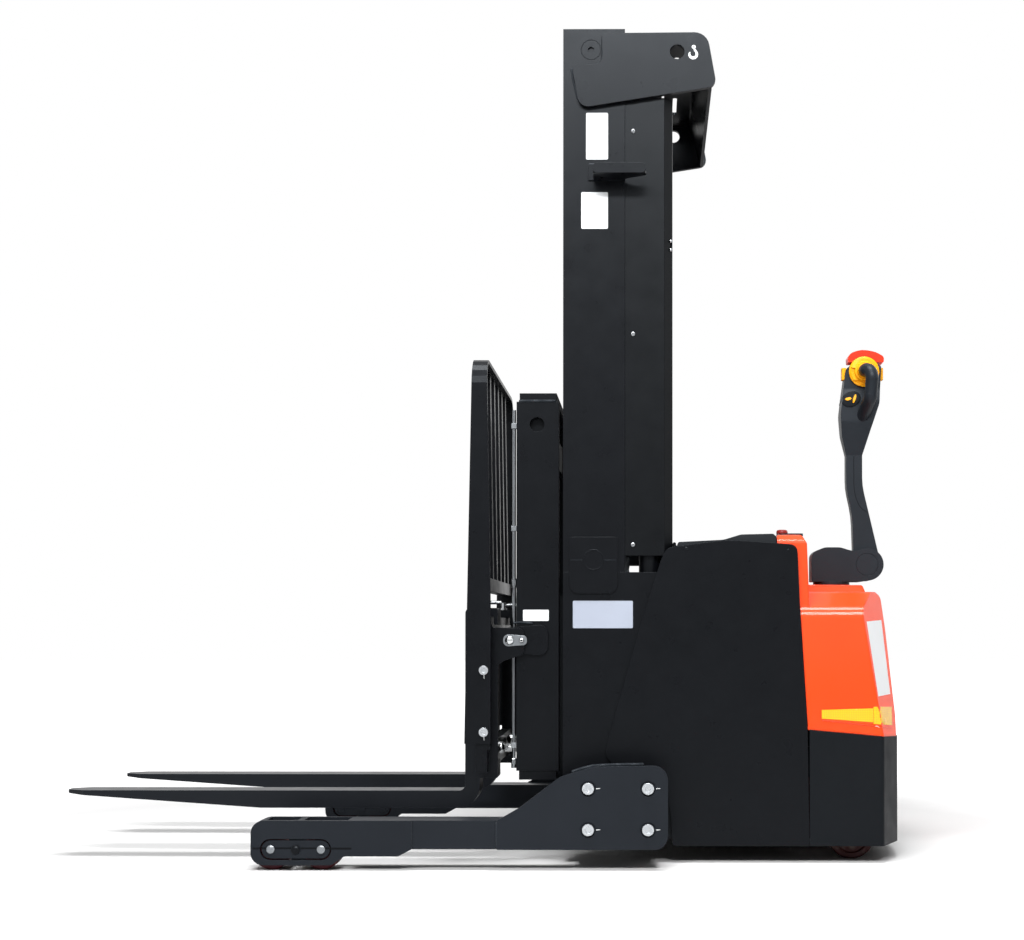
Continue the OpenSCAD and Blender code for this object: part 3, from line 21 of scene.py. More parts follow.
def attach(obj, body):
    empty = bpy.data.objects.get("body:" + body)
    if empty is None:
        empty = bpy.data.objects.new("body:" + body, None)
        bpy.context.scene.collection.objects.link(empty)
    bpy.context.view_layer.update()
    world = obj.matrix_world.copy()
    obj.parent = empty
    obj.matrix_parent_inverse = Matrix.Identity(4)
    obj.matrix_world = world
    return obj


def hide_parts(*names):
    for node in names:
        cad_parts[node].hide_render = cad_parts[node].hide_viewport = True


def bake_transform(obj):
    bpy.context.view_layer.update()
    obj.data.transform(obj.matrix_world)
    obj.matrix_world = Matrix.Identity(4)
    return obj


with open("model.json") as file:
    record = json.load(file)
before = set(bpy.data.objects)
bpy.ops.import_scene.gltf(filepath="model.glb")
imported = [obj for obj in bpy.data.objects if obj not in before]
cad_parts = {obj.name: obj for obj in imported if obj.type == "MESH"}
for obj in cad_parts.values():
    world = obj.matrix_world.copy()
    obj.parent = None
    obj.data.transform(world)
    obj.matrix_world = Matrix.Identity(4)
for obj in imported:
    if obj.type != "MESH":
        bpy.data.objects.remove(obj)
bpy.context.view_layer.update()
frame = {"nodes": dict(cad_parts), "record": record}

LOG = logging.getLogger("stacker")
# How far the vehicle's datum lies from the frame's origin along X
DATUM_X = 451.75
# Directions: out of the near side, and up
NEARWARD = (0, -1, 0)
UP = (0, 0, 1)
# Spans over which a coat's colour drifts, its gloss varies and a tyre is scuffed
DRIFT_MM = 160
SMEAR_MM = 60
SCUFF_MM = 25
# Edges that turn more than this stay sharp in the shading
SHARP_DEGREES = 38
# Edges that turn more than this many radians get a piece's bevel
BEVEL_FROM = 0.6

Point = tuple[float, float, float]
Flat = tuple[float, float]
Colour = tuple[float, float, float, float]
Tree = bpy.types.NodeTree
Socket = bpy.types.NodeSocket


class Side(Enum):
    """Side of the stacker: the near one faces the camera."""

    NEAR = -1
    FAR = 1
    BOTH = 0


class Drive(Enum):
    """How a screw head is turned."""

    HEX = "hexagon head on a washer"
    BUTTON = "low domed head with a socket"


def add(tree: Tree, kind: str, settings: dict | None = None, links: dict | None = None
        ) -> bpy.types.Node:
    """Adds one node with its settings and its incoming links.

    Args:
        tree: Node tree of the material or world.
        kind: Blender's name of the node type, without its ShaderNode prefix.
        settings: Property or input (by name or number) and its value.
        links: Input (by name or number) and the socket that feeds it.

    Returns:
        The new node.
    """
    made = tree.nodes.new(f"ShaderNode{kind}")
    for key, value in (settings or {}).items():
        if isinstance(key, int) or key in made.inputs:
            made.inputs[key].default_value = value
        else:
            setattr(made, key, value)
    for key, socket in (links or {}).items():
        tree.links.new(socket, made.inputs[key])
    return made


def linear(code: str, gain: float = 1.0) -> Colour:
    """Linear colour of an sRGB hex code.

    Args:
        code: The colour, such as "#ff4a17".
        gain: Factor that makes it lighter or darker.

    Returns:
        Red, green, blue and an alpha of 1.
    """
    parts = [int(code[i:i + 2], 16) / 255 for i in (1, 3, 5)]
    lit = [c / 12.92 if c <= 0.04045 else ((c + 0.055) / 1.055) ** 2.4 for c in parts]
    return (*[min(1.0, c * gain) for c in lit], 1.0)


@dataclass(frozen=True)
class Finish:
    """A material as its real surface was made, with an even, fine grained relief.

    Colour drifts by `mottle` over about a hand's width, edges round off over `edge_mm`,
    and edges turn towards a paler colour by a set share: partly rubbed coat, partly a
    painted highlight where edges catch the light.
    """

    name: str
    colour: str
    roughness: float
    metallic: float = 0.0
    specular: float = 0.5
    coat: float = 0.0
    coat_roughness: float = 0.08
    grain_mm: float = 2.0
    depth_mm: float = 0.03
    mottle: float = 0.08
    edge_mm: float = 1.2
    # Paler edge colour and its share: partly rubbed coat, partly a painted highlight on edges
    edge_wear_and_highlight_colour: str = "#8a8e93"
    edge_wear_and_highlight: float = 0.0
    sheen_tone: Colour = (0.86, 0.93, 1.0, 1.0)

    def relief(self, tree: Tree, place: Socket) -> Socket:
        """Height of the surface, here an even grain.

        Args:
            tree: Node tree of the material.
            place: Socket of the object's own coordinates.

        Returns:
            Socket of the height, from 0 to 1.
        """
        return add(tree, "TexNoise",
                   {"Scale": 1000 / self.grain_mm, "Detail": 2.0, "Roughness": 0.6},
                   {"Vector": place}).outputs[0]

    def tint(self, tree: Tree, place: Socket, height: Socket) -> Socket:
        """Colour before the pale edges: the base colour, drifting slowly over the surface.

        Args:
            tree: Node tree of the material.
            place: Socket of the object's own coordinates.
            height: Socket of the relief's height; not used.

        Returns:
            Socket of the colour.
        """
        drift = add(tree, "TexNoise", {"Scale": 1000 / DRIFT_MM, "Detail": 3.0},
                    {"Vector": place}).outputs[0]
        spread = add(tree, "MapRange", {"From Min": 0.3, "From Max": 0.7},
                     {"Value": drift}).outputs[0]
        return add(tree, "Mix",
                   {"data_type": "RGBA", 6: linear(self.colour, 1 - self.mottle),
                    7: linear(self.colour, 1 + self.mottle)}, {0: spread}).outputs[2]

    def build(self) -> bpy.types.Material:
        """Makes the Blender material.

        Returns:
            The material, with its nodes.
        """
        made = bpy.data.materials.new(self.name)
        made.use_nodes = True
        tree = made.node_tree
        tree.nodes.clear()
        place = add(tree, "TexCoord").outputs["Object"]
        height = self.relief(tree, place)
        colour = self.tint(tree, place, height)
        smear = add(tree, "TexNoise", {"Scale": 1000 / SMEAR_MM, "Detail": 4.0},
                    {"Vector": place}).outputs[0]
        rough = add(tree, "MapRange",
                    {"From Min": 0.25, "From Max": 0.75, "To Min": self.roughness * 0.86,
                     "To Max": min(1.0, self.roughness * 1.14)}, {"Value": smear}).outputs[0]
        soft = add(tree, "Bevel", {"samples": 3, "Radius": self.edge_mm / 1000})
        # Paler edges, where the Bevel normal turns from the true one: rubbing and painted highlight
        if self.edge_wear_and_highlight:
            true = add(tree, "NewGeometry").outputs["Normal"]
            turn = add(tree, "VectorMath", {"operation": "DOT_PRODUCT"},
                       {0: soft.outputs[0], 1: true}).outputs["Value"]
            edge = add(tree, "MapRange",
                       {"From Min": 0.99, "From Max": 0.86, "To Max": self.edge_wear_and_highlight},
                       {"Value": turn}).outputs[0]
            patchy_wear_and_highlight = add(tree, "Math", {"operation": "MULTIPLY"},
                         {0: edge, 1: smear}).outputs[0]
            colour = add(tree, "Mix", {"data_type": "RGBA", 7: linear(self.edge_wear_and_highlight_colour)},
                         {0: patchy_wear_and_highlight, 6: colour}).outputs[2]
        bump = add(tree, "Bump", {"Strength": 1.0, "Distance": self.depth_mm / 1000},
                   {"Height": height, "Normal": soft.outputs[0]}).outputs[0]
        shader = add(tree, "BsdfPrincipled",
                     {"Metallic": self.metallic, "Specular IOR Level": self.specular,
                      "Specular Tint": self.sheen_tone,
                      "Coat Weight": self.coat, "Coat Roughness": self.coat_roughness},
                     {"Base Color": colour, "Roughness": rough, "Normal": bump})
        add(tree, "OutputMaterial", None, {"Surface": shader.outputs[0]})
        return made


@dataclass(frozen=True)
class BrushedMetal(Finish):
    """A metal with fine lines along one axis, as drawn, ground or honed."""

    along: Point = (1.0, 1.0, 0.03)
    metallic: float = 1.0
    sheen_tone: Colour = (1.0, 1.0, 1.0, 1.0)

    def relief(self, tree: Tree, place: Socket) -> Socket:
        """Height of the surface: noise that is stretched along the lines."""
        drawn = add(tree, "Mapping", {"Scale": self.along}, {"Vector": place})
        return add(tree, "TexNoise", {"Scale": 1000 / self.grain_mm, "Detail": 3.0},
                   {"Vector": drawn.outputs[0]}).outputs[0]


@dataclass(frozen=True)
class PrismSheet(Finish):
    """Retroreflecting sheet: a net of small sealed cells under a clear face.

    Real cells are 3 to 4 mm wide; they are drawn at 6 mm, so that they show from a step away.
    """

    cell_mm: float = 6.0

    def relief(self, tree: Tree, place: Socket) -> Socket:
        """Height of the surface: the cells' seams stand proud."""
        cells = add(tree, "TexVoronoi",
                    {"feature": "DISTANCE_TO_EDGE", "Scale": 1000 / self.cell_mm,
                     "Randomness": 0.15}, {"Vector": place}).outputs[0]
        return add(tree, "MapRange", {"From Max": 0.12}, {"Value": cells}).outputs[0]

    def tint(self, tree: Tree, place: Socket, height: Socket) -> Socket:
        """Colour before the pale edges: deeper in the cells, paler on their seams."""
        return add(tree, "Mix",
                   {"data_type": "RGBA", 6: linear(self.colour, 1.35),
                    7: linear(self.colour)}, {0: height}).outputs[2]


@dataclass(frozen=True)
class CastTread(Finish):
    """Cast polyurethane tyre: scuffed bands round the tread and picked-up dust."""

    def tint(self, tree: Tree, place: Socket, height: Socket) -> Socket:
        """Colour before the pale edges: the resin with grey scuffs where it rolls.

        Args:
            tree: Node tree of the material.
            place: Socket of the object's own coordinates.
            height: Socket of the relief's height; not used.

        Returns:
            Socket of the colour.
        """
        scuff = add(tree, "TexNoise", {"Scale": 1000 / SCUFF_MM, "Detail": 5.0},
                    {"Vector": place}).outputs[0]
        share = add(tree, "MapRange",
                    {"From Min": 0.5, "From Max": 0.8, "To Max": 0.4},
                    {"Value": scuff}).outputs[0]
        return add(tree, "Mix",
                   {"data_type": "RGBA", 6: linear(self.colour), 7: linear("#8d857c")},
                   {0: share}).outputs[2]


# Powder coat on rolled steel: satin, faintly pebbled; corners paler from rubbing and painted
# highlight
CHARCOAL = Finish("charcoal_powder_coat_steel", "#0b0c0f", 0.3, specular=0.135,
                  grain_mm=2.4, depth_mm=0.035, edge_wear_and_highlight_colour="#3a3f45", edge_wear_and_highlight=0.35, edge_mm=1.6)
# The same coat on the straddle legs, laid on thicker, in a colour a tone paler; corners paler from
# rubbing and painted highlight
LEG_COAT = Finish("charcoal_powder_coat_casting", "#1d2025", 0.4, specular=0.14,
                  grain_mm=3.2, depth_mm=0.05, edge_wear_and_highlight_colour="#3a3f45", edge_wear_and_highlight=0.35, edge_mm=2.0)
# The same coat on thin folded sheet: smoother, with a softer drift of tone; corners paler from
# rubbing and painted highlight
SHEET = Finish("charcoal_powder_coat_sheet", "#0b0c0e", 0.32, specular=0.135,
               grain_mm=3.0, depth_mm=0.02, edge_wear_and_highlight_colour="#3a3f45", edge_wear_and_highlight=0.25, edge_mm=1.0)
# Thin satin paint on forged fork steel: pale along its corners from rubbing and painted highlight
FORGED = Finish("satin_paint_forged_steel", "#17191d", 0.34, specular=0.15,
                grain_mm=5.0, depth_mm=0.06, edge_wear_and_highlight_colour="#5d6268", edge_wear_and_highlight=0.6, edge_mm=2.4)
# Wet gloss two-pack paint over a moulded cover: clear coat over orange-red
GLOSS_COVER = Finish("gloss_orange_paint_moulded_cover", "#ff4a17", 0.36, specular=0.1,
                     coat=0.5, coat_roughness=0.1, grain_mm=9.0, depth_mm=0.02,
                     mottle=0.03, edge_mm=8.0)
# Thick rotation moulded skirt: dark grey, dull, with an even leather-like grain
SKIRT = Finish("rotation_moulded_polyethylene", "#121417", 0.48, specular=0.1,
               grain_mm=1.6, depth_mm=0.05, edge_mm=3.0)
# Spark-eroded injection moulding: near black, dull, fine grain
MOULDED = Finish("moulded_glass_filled_nylon", "#15171a", 0.42, specular=0.28,
                 grain_mm=1.2, depth_mm=0.04, edge_mm=1.2)
# Cast and painted in satin graphite, a step lighter than the plastics round it
TILLER = Finish("satin_paint_die_cast_tiller", "#1e2227", 0.42, specular=0.2, grain_mm=1.5,
                depth_mm=0.04)
# Injection moulded in its own colour: the yellow looks deep, smooth and a little waxy
YELLOW = Finish("moulded_abs_yellow", "#f7ac14", 0.38, specular=0.2, grain_mm=1.5,
                depth_mm=0.02, mottle=0.03)
# The same plastic in signal red: an even tone with soft highlights
RED = Finish("moulded_abs_red", "#ee3418", 0.35, specular=0.2, grain_mm=1.5,
             depth_mm=0.02, mottle=0.03)
# Hard thermoset cap of the stop button: a dark dense red with a crisp shine
STOP_RED = Finish("moulded_urea_stop_red", "#8e2018", 0.4, specular=0.4, grain_mm=1.5,
                  depth_mm=0.02)
# Brushed-on enamel on the battery's steel tray: slate grey, pale on its corners from chips and
# painted highlight
BATTERY = Finish("acid_proof_enamel_steel", "#3a3f45", 0.35, grain_mm=3.0, edge_wear_and_highlight=0.4)
# Sand cast and left bare: dull silver, the same grain every way
CAST_ALLOY = BrushedMetal("cast_aluminium", "#a9adb0", 0.45, grain_mm=1.4, depth_mm=0.05,
                          along=(1.0, 1.0, 1.0))
# Surface ground: grey steel whose long fine lines stretch the highlights
GROUND = BrushedMetal("ground_steel", "#8d9195", 0.3, grain_mm=0.8, depth_mm=0.01,
                      along=(0.05, 1.0, 1.0))
# Zinc plate gone dull on the hinge pins and their keeper plates
PIN_STEEL = BrushedMetal("dull_zinc_plate", "#84888c", 0.34, grain_mm=1.0, depth_mm=0.02,
                         mottle=0.15, along=(1.0, 1.0, 1.0))
# Honed chromium on a piston rod: near mirror, faint lines round it
CHROME = BrushedMetal("hard_chromium", "#d5d8da", 0.1, grain_mm=0.8, depth_mm=0.002,
                      mottle=0.02, along=(0.1, 0.1, 1.0))
# Barrel plated fasteners: bright, bluish, with a soft even glint
ZINC = BrushedMetal("bright_zinc_plate", "#c3c7cb", 0.28, grain_mm=1.0, depth_mm=0.01,
                    along=(1.0, 1.0, 1.0))
# Blued plates under oil: dark and half shiny, so that each link catches the light
CHAIN = BrushedMetal("oiled_carbon_steel", "#5c6064", 0.32, grain_mm=1.0, depth_mm=0.01)
# Poured polyurethane: wine red, matt, scuffed grey where it rolls
TREAD = CastTread("cast_polyurethane", "#45141a", 0.5, grain_mm=2.5, depth_mm=0.05,
                  specular=0.2)
# A softer grade of it on the casters: browner, with the same scuffs
CASTER = CastTread("cast_polyurethane_brown", "#3a1512", 0.5, grain_mm=2.5, depth_mm=0.05,
                   specular=0.2)
# Amber sheet with sealed cells under a clear face: glows evenly, with a fine pale net
PRISM = PrismSheet("prismatic_reflector_sheet", "#f2b50f", 0.25, specular=0.5, coat=0.5,
                   depth_mm=0.15)
# Blank vinyl: white face film, dull, with a trace of unevenness from its glue
VINYL = Finish("white_vinyl_film", "#eef0f2", 0.45, specular=0.35, grain_mm=12.0,
               depth_mm=0.02, mottle=0.015, edge_mm=0.3)
# Blank data plate: anodised foil, cool pale grey
FOIL = Finish("anodised_aluminium_foil", "#a9b0bf", 0.4, specular=0.4, grain_mm=1.0,
              depth_mm=0.01, mottle=0.02, edge_mm=0.3)
# Dabs of marking paint across the bolts: flat white, slightly lumpy
MARK = Finish("white_marking_paint", "#e4e6e6", 0.6, grain_mm=0.8, depth_mm=0.15)
# Shade at the bottom of a parting line or slot: nearly black, without shine
SEAM = Finish("shaded_parting_line", "#0c0d0f", 0.7, specular=0.1, grain_mm=1.0)
# Weld bead under the coat: the ripples show as a row of small highlights
BEAD = Finish("painted_weld_bead", "#24282d", 0.4, specular=0.2, grain_mm=1.5, depth_mm=0.2,
              mottle=0.2)
# Extruded rubber: black, dull, finely pebbled
HOSE = Finish("nitrile_rubber_hose", "#111213", 0.55, specular=0.25, grain_mm=1.0,
              depth_mm=0.06)
# Tinted window over the meter: black with a sharp mirror-like shine
GLASS = Finish("smoked_acrylic_window", "#0a0d10", 0.12, specular=0.5, coat=0.6, grain_mm=20.0,
               depth_mm=0.004, mottle=0.02)
# Polished and nickel plated lock barrel: warm, bright silver
NICKEL = BrushedMetal("nickel_plated_brass", "#cfcabb", 0.2, grain_mm=1.0, depth_mm=0.006)

SLOT_FINISH = {
    "charcoal_paint": CHARCOAL, "charcoal_sheet": SHEET, "fork_steel": FORGED,
    "orange_cover": GLOSS_COVER, "grey_moulding": SKIRT, "black_plastic": MOULDED,
    "yellow_plastic": YELLOW, "red_plastic": RED, "battery_case": BATTERY,
    "finned_alloy": CAST_ALLOY, "ground_steel": GROUND, "hard_chrome": CHROME,
    "zinc_plate": ZINC, "oiled_chain": CHAIN, "wheel_tread": TREAD, "reflector": PRISM,
}
NODE_FINISH = {"emergency_stop": STOP_RED, "caster_wheel_near": CASTER,
               "caster_wheel_far": CASTER, "bogie_near": LEG_COAT, "bogie_far": LEG_COAT,
               "straddle_leg_near": LEG_COAT, "straddle_leg_far": LEG_COAT,
               "pivot_pins": PIN_STEEL, "tiller_arm": TILLER, "tiller_head": TILLER,
               "tiller_base": TILLER}


class Finishes:
    """Keeps one Blender material for each finish that is in use."""

    def __init__(self) -> None:
        """Starts with none built."""
        self.built: dict[str, bpy.types.Material] = {}

    def of(self, finish: Finish) -> bpy.types.Material:
        """The material of a finish, built when it is first asked for."""
        if finish.name not in self.built:
            self.built[finish.name] = finish.build()
        return self.built[finish.name]

    def dress(self, thing: bpy.types.Object, finish: Finish) -> None:
        """Gives an object that finish alone."""
        thing.data.materials.clear()
        thing.data.materials.append(self.of(finish))


FINISHES = Finishes()


def rounded(x: Flat, z: Flat, r: float, steps: int = 4) -> list[Flat]:
    """Rectangle with rounded corners.

    Args:
        x: Its left and right.
        z: Its bottom and top.
        r: Corner radius.
        steps: Straight pieces in each corner.

    Returns:
        Its outline, anticlockwise.
    """
    centres = [(x[1] - r, z[0] + r, -90), (x[1] - r, z[1] - r, 0),
               (x[0] + r, z[1] - r, 90), (x[0] + r, z[0] + r, 180)]
    return [(cx + r * math.cos(math.radians(a + 90 * i / steps)),
             cz + r * math.sin(math.radians(a + 90 * i / steps)))
            for cx, cz, a in centres for i in range(steps + 1)]


def oval(centre: Flat, rx: float, rz: float, tilt: float = 0.0, steps: int = 36) -> list[Flat]:
    """Outline of an ellipse.

    Args:
        centre: Its middle.
        rx: Half of its width.
        rz: Half of its height.
        tilt: Angle in degrees that it is turned by.
        steps: Points round it.

    Returns:
        Its outline, anticlockwise.
    """
    t = math.radians(tilt)
    rim = [(rx * math.cos(a), rz * math.sin(a))
           for a in (2 * math.pi * i / steps for i in range(steps))]
    return [(centre[0] + u * math.cos(t) - v * math.sin(t),
             centre[1] + u * math.sin(t) + v * math.cos(t)) for u, v in rim]


def smooth(points: Sequence[Point], steps: int = 8) -> list[Point]:
    """A Catmull-Rom curve through the points.

    Args:
        points: Where it passes.
        steps: Straight pieces between two of them.

    Returns:
        The points of the curve.
    """
    p = [Vector(q) for q in points]
    p = [2 * p[0] - p[1], *p, 2 * p[-1] - p[-2]]
    curve = []
    for i in range(1, len(p) - 2):
        for k in range(steps):
            t = k / steps
            curve.append(tuple(0.5 * (2 * p[i] + (p[i + 1] - p[i - 1]) * t
                         + (2 * p[i - 1] - 5 * p[i] + 4 * p[i + 1] - p[i + 2]) * t ** 2
                         + (3 * p[i] - p[i - 1] - 3 * p[i + 1] + p[i + 2]) * t ** 3)))
    return [*curve, tuple(p[-2])]


@dataclass(frozen=True)
class Stretch:
    """Two bodies that a chain runs between, and where it starts to follow each."""

    low_body: str
    high_body: str
    x: float
    low_z: float
    high_z: float


class Surfaces:
    """Finds where a straight look meets a CAD node.

    EYE, FOCAL and CENTRE are the photograph's eye point in millimetres, and its focal length
    and principal point in pixels.
    """

    EYE = Vector((0.0, -5325.0, 610.0))
    FOCAL = 1850.0
    CENTRE = (652.0, 632.0)
    TRIES = 40

    def __init__(self) -> None:
        """Starts with no node prepared."""
        self.trees: dict[str, BVHTree] = {}

    def hit(self, node: str, start: Point, way: Point) -> tuple[Vector, Vector] | None:
        """Place and outward normal, in millimetres, where a ray first meets a node.

        Args:
            node: Name of the CAD node.
            start: Where the ray starts.
            way: Its direction.

        Returns:
            The two vectors, or None where the ray misses.
        """
        if node not in self.trees:
            mesh = frame["nodes"][node].data
            self.trees[node] = BVHTree.FromPolygons(
                [v.co.copy() for v in mesh.vertices], [tuple(p.vertices) for p in mesh.polygons])
        eye = Vector((start[0] + DATUM_X, start[1], start[2])) / 1000
        place, normal, _, _ = self.trees[node].ray_cast(eye, Vector(way).normalized())
        if place is None:
            return None
        if normal.dot(Vector(way)) > 0:
            normal = -normal
        return Vector((place.x * 1000 - DATUM_X, place.y * 1000, place.z * 1000)), normal

    def seen(self, node: str, px: Flat, inward: Flat) -> tuple[Vector, Vector]:
        """Place and normal where the sight line of a picture point meets a node.

        Args:
            node: Name of the CAD node.
            px: Picture point, from the top left corner.
            inward: Picture point to move towards while the line misses.

        Returns:
            Place in millimetres and outward normal.
        """
        for step in range(self.TRIES):
            x, y = (a + (b - a) * step / self.TRIES for a, b in zip(px, inward))
            way = ((x - self.CENTRE[0]) / self.FOCAL, 1.0, (self.CENTRE[1] - y) / self.FOCAL)
            met = self.hit(node, tuple(self.EYE), way)
            if met:
                return met
        raise ValueError(f"no sight line near {px} meets {node}")


SURFACES = Surfaces()


class Blank:
    """A mesh in the making, in millimetres on the vehicle's datum."""

    def __init__(self) -> None:
        """Starts empty."""
        self.bm = bmesh.new()

    def ring(self, points: Sequence[Vector]) -> list[bmesh.types.BMVert]:
        """Adds points and returns their vertices."""
        return [self.bm.verts.new(p) for p in points]

    def skin(self, rings: Sequence[Sequence[bmesh.types.BMVert]], caps: bool = True) -> None:
        """Joins rings of vertices one to the next, and closes the first and last.

        Args:
            rings: Rings of one length, or of a single vertex at a tip.
            caps: Whether the ends are closed.
        """
        for low, high in pairwise(rings):
            count = max(len(low), len(high))
            for i in range(count):
                face = [low[i % len(low)], low[(i + 1) % len(low)],
                        high[(i + 1) % len(high)], high[i % len(high)]]
                face = list(dict.fromkeys(face))
                if len(face) > 2:
                    self.bm.faces.new(face)
        for end in (rings[0], rings[-1]) if caps else ():
            if len(end) > 2:
                self.bm.faces.new(end)

    def turned(self, profile: Sequence[Flat], origin: Point, axis: Point,
               steps: int = 32) -> "Blank":
        """Adds a turned form.

        Args:
            profile: Radius and height pairs along the axis.
            origin: Where height 0 lies.
            axis: Direction of the axis.
            steps: Sides round the axis.

        Returns:
            This blank.
        """
        turn = Vector(UP).rotation_difference(Vector(axis)).to_matrix()
        angles = [2 * math.pi * i / steps for i in range(steps)]
        self.skin([self.ring([Vector(origin) + turn @ Vector((r * math.cos(a), r * math.sin(a), h))
                              for a in (angles if r > 0.001 else [0.0])])
                   for r, h in profile])
        return self

    def slab(self, outline: Sequence[Flat], y: Flat) -> "Blank":
        """Adds a plate with an outline in X and Z, from one Y to another."""
        self.skin([self.ring([Vector((u, level, v)) for u, v in outline]) for level in y])
        return self

    def plan(self, outline: Sequence[Flat], z: Flat) -> "Blank":
        """Adds a plate with an outline in X and Y, from one height to another."""
        self.skin([self.ring([Vector((u, v, level)) for u, v in outline]) for level in z])
        return self

    def swept(self, path: Sequence[Point], radius: float | Callable[[int], float],
              steps: int = 12) -> "Blank":
        """Adds a round bar along a path.

        Args:
            path: Points along its middle.
            radius: Its radius, or a function of the point's number.
            steps: Sides round it.

        Returns:
            This blank.
        """
        points = [Vector(p) for p in path]
        rings, out = [], None
        for i, point in enumerate(points):
            way = (points[min(i + 1, len(points) - 1)] - points[max(i - 1, 0)]).normalized()
            if out is None:
                out = way.orthogonal().normalized()
            out = (out - way * out.dot(way)).normalized()
            across = way.cross(out)
            r = radius(i) if callable(radius) else radius
            rings.append(self.ring([point + r * (math.cos(a) * out + math.sin(a) * across)
                                    for a in (2 * math.pi * k / steps for k in range(steps))]))
        self.skin(rings)
        return self

    def bead(self, path: Sequence[Point], radius: float, pitch: float = 3.2) -> "Blank":
        """Adds a hand-laid weld bead with its overlapping ripples along a path.

        Args:
            path: Points along its middle.
            radius: Its radius where a ripple is highest.
            pitch: Length of one ripple.

        Returns:
            This blank.
        """
        line, last = [], Vector(path[0])
        for a, b in pairwise([Vector(p) for p in path]):
            count = max(1, round((b - a).length / (pitch / 4)))
            line += [a.lerp(b, k / count) for k in range(count)]
        line.append(Vector(path[-1]))
        end = len(line) - 1

        def swell(i: int) -> float:
            """Radius at point i: scales that overlap, and rounded ends."""
            ends = min(1.0, 0.35 + 0.2 * min(i, end - i))
            return radius * ends * (0.86 + 0.14 * ((i % 4) / 3) + 0.05 * math.sin(i * 1.7))

        return self.swept([tuple(p) for p in line], swell, 10)

    def ribbon(self, path: Sequence[Point], widths: Sequence[float], out: Point,
               thick: float = 0.3) -> "Blank":
        """Adds a thin painted stroke or strip.

        Args:
            path: Points along its middle.
            widths: Its width at each point, or one width.
            out: Direction that it faces.
            thick: Its thickness.

        Returns:
            This blank.
        """
        points, face = [Vector(p) for p in path], Vector(out).normalized()
        wide = list(widths) if len(widths) > 1 else [widths[0]] * len(points)
        rings = []
        for i, point in enumerate(points):
            way = points[min(i + 1, len(points) - 1)] - points[max(i - 1, 0)]
            aside = way.cross(face).normalized() * wide[i] / 2
            rings.append(self.ring([point - aside, point + aside,
                                    point + aside + face * thick, point - aside + face * thick]))
        self.skin(rings)
        return self

    def patch(self, node: str, outline: Sequence[Flat], lift: float = 0.05,
              thick: float = 0.35, rings: int = 6) -> "Blank":
        """Adds a sheet that follows a CAD node's surface, as a stuck film does.

        Args:
            node: The CAD node under it.
            outline: Its outline in picture points, as the camera sees it.
            lift: Glue gap under it.
            thick: Its thickness.
            rings: Rows of faces from its middle to its rim.

        Returns:
            This blank.
        """
        edge = [tuple(p.lerp(q, k / 5)) for p, q in
                zip([Vector(p) for p in outline], [Vector(q) for q in (*outline[1:], outline[0])])
                for k in range(5)]
        middle = (sum(u for u, _ in edge) / len(edge), sum(v for _, v in edge) / len(edge))
        top, low = [], []
        for k in range(rings + 1):
            row = [(middle[0] + (u - middle[0]) * k / rings,
                    middle[1] + (v - middle[1]) * k / rings) for u, v in edge][:None if k else 1]
            met = [SURFACES.seen(node, px, middle) for px in row]
            top.append(self.ring([place + normal * (lift + thick) for place, normal in met]))
            low.append(self.ring([place + normal * lift for place, normal in met]))
        self.skin([*low, *top[::-1]])
        return self

    def line(self, node: str, points: Sequence[Flat], radius: float, proud: float = 0.2
             ) -> "Blank":
        """Adds a fine raised line on a CAD node's surface.

        Args:
            node: The CAD node under it.
            points: Picture points along it.
            radius: Its radius.
            proud: Share of the radius by which its middle stands off the surface.

        Returns:
            This blank.
        """
        fine = [tuple(p) for p in smooth([(u, v, 0.0) for u, v in points], 4)]
        met = [SURFACES.seen(node, (u, v), points[len(points) // 2]) for u, v, _ in fine]
        return self.swept([tuple(place + normal * radius * proud) for place, normal in met],
                          radius, 8)

    def screw(self, origin: Point, out: Point, r: float, drive: Drive) -> "Blank":
        """Adds a screw head.

        Args:
            origin: Where its underside meets the surface.
            out: Direction that it faces.
            r: Radius of the head.
            drive: Form of the head.

        Returns:
            This blank.
        """
        if drive is Drive.HEX:
            self.turned([(r * 1.25, 0), (r * 1.25, r * 0.2), (r * 1.15, r * 0.24)],
                        origin, out, 28)
            self.turned([(r, r * 0.24), (r, r * 0.8), (r * 0.88, r * 0.95), (0, r * 0.95)],
                        origin, out, 6)
        else:
            self.turned([(r, 0), (r * 0.96, r * 0.25), (r * 0.7, r * 0.55), (r * 0.42, r * 0.66)],
                        origin, out, 24)
            self.turned([(r * 0.42, r * 0.66), (r * 0.36, r * 0.3), (0, r * 0.25)],
                        origin, out, 6)
        return self

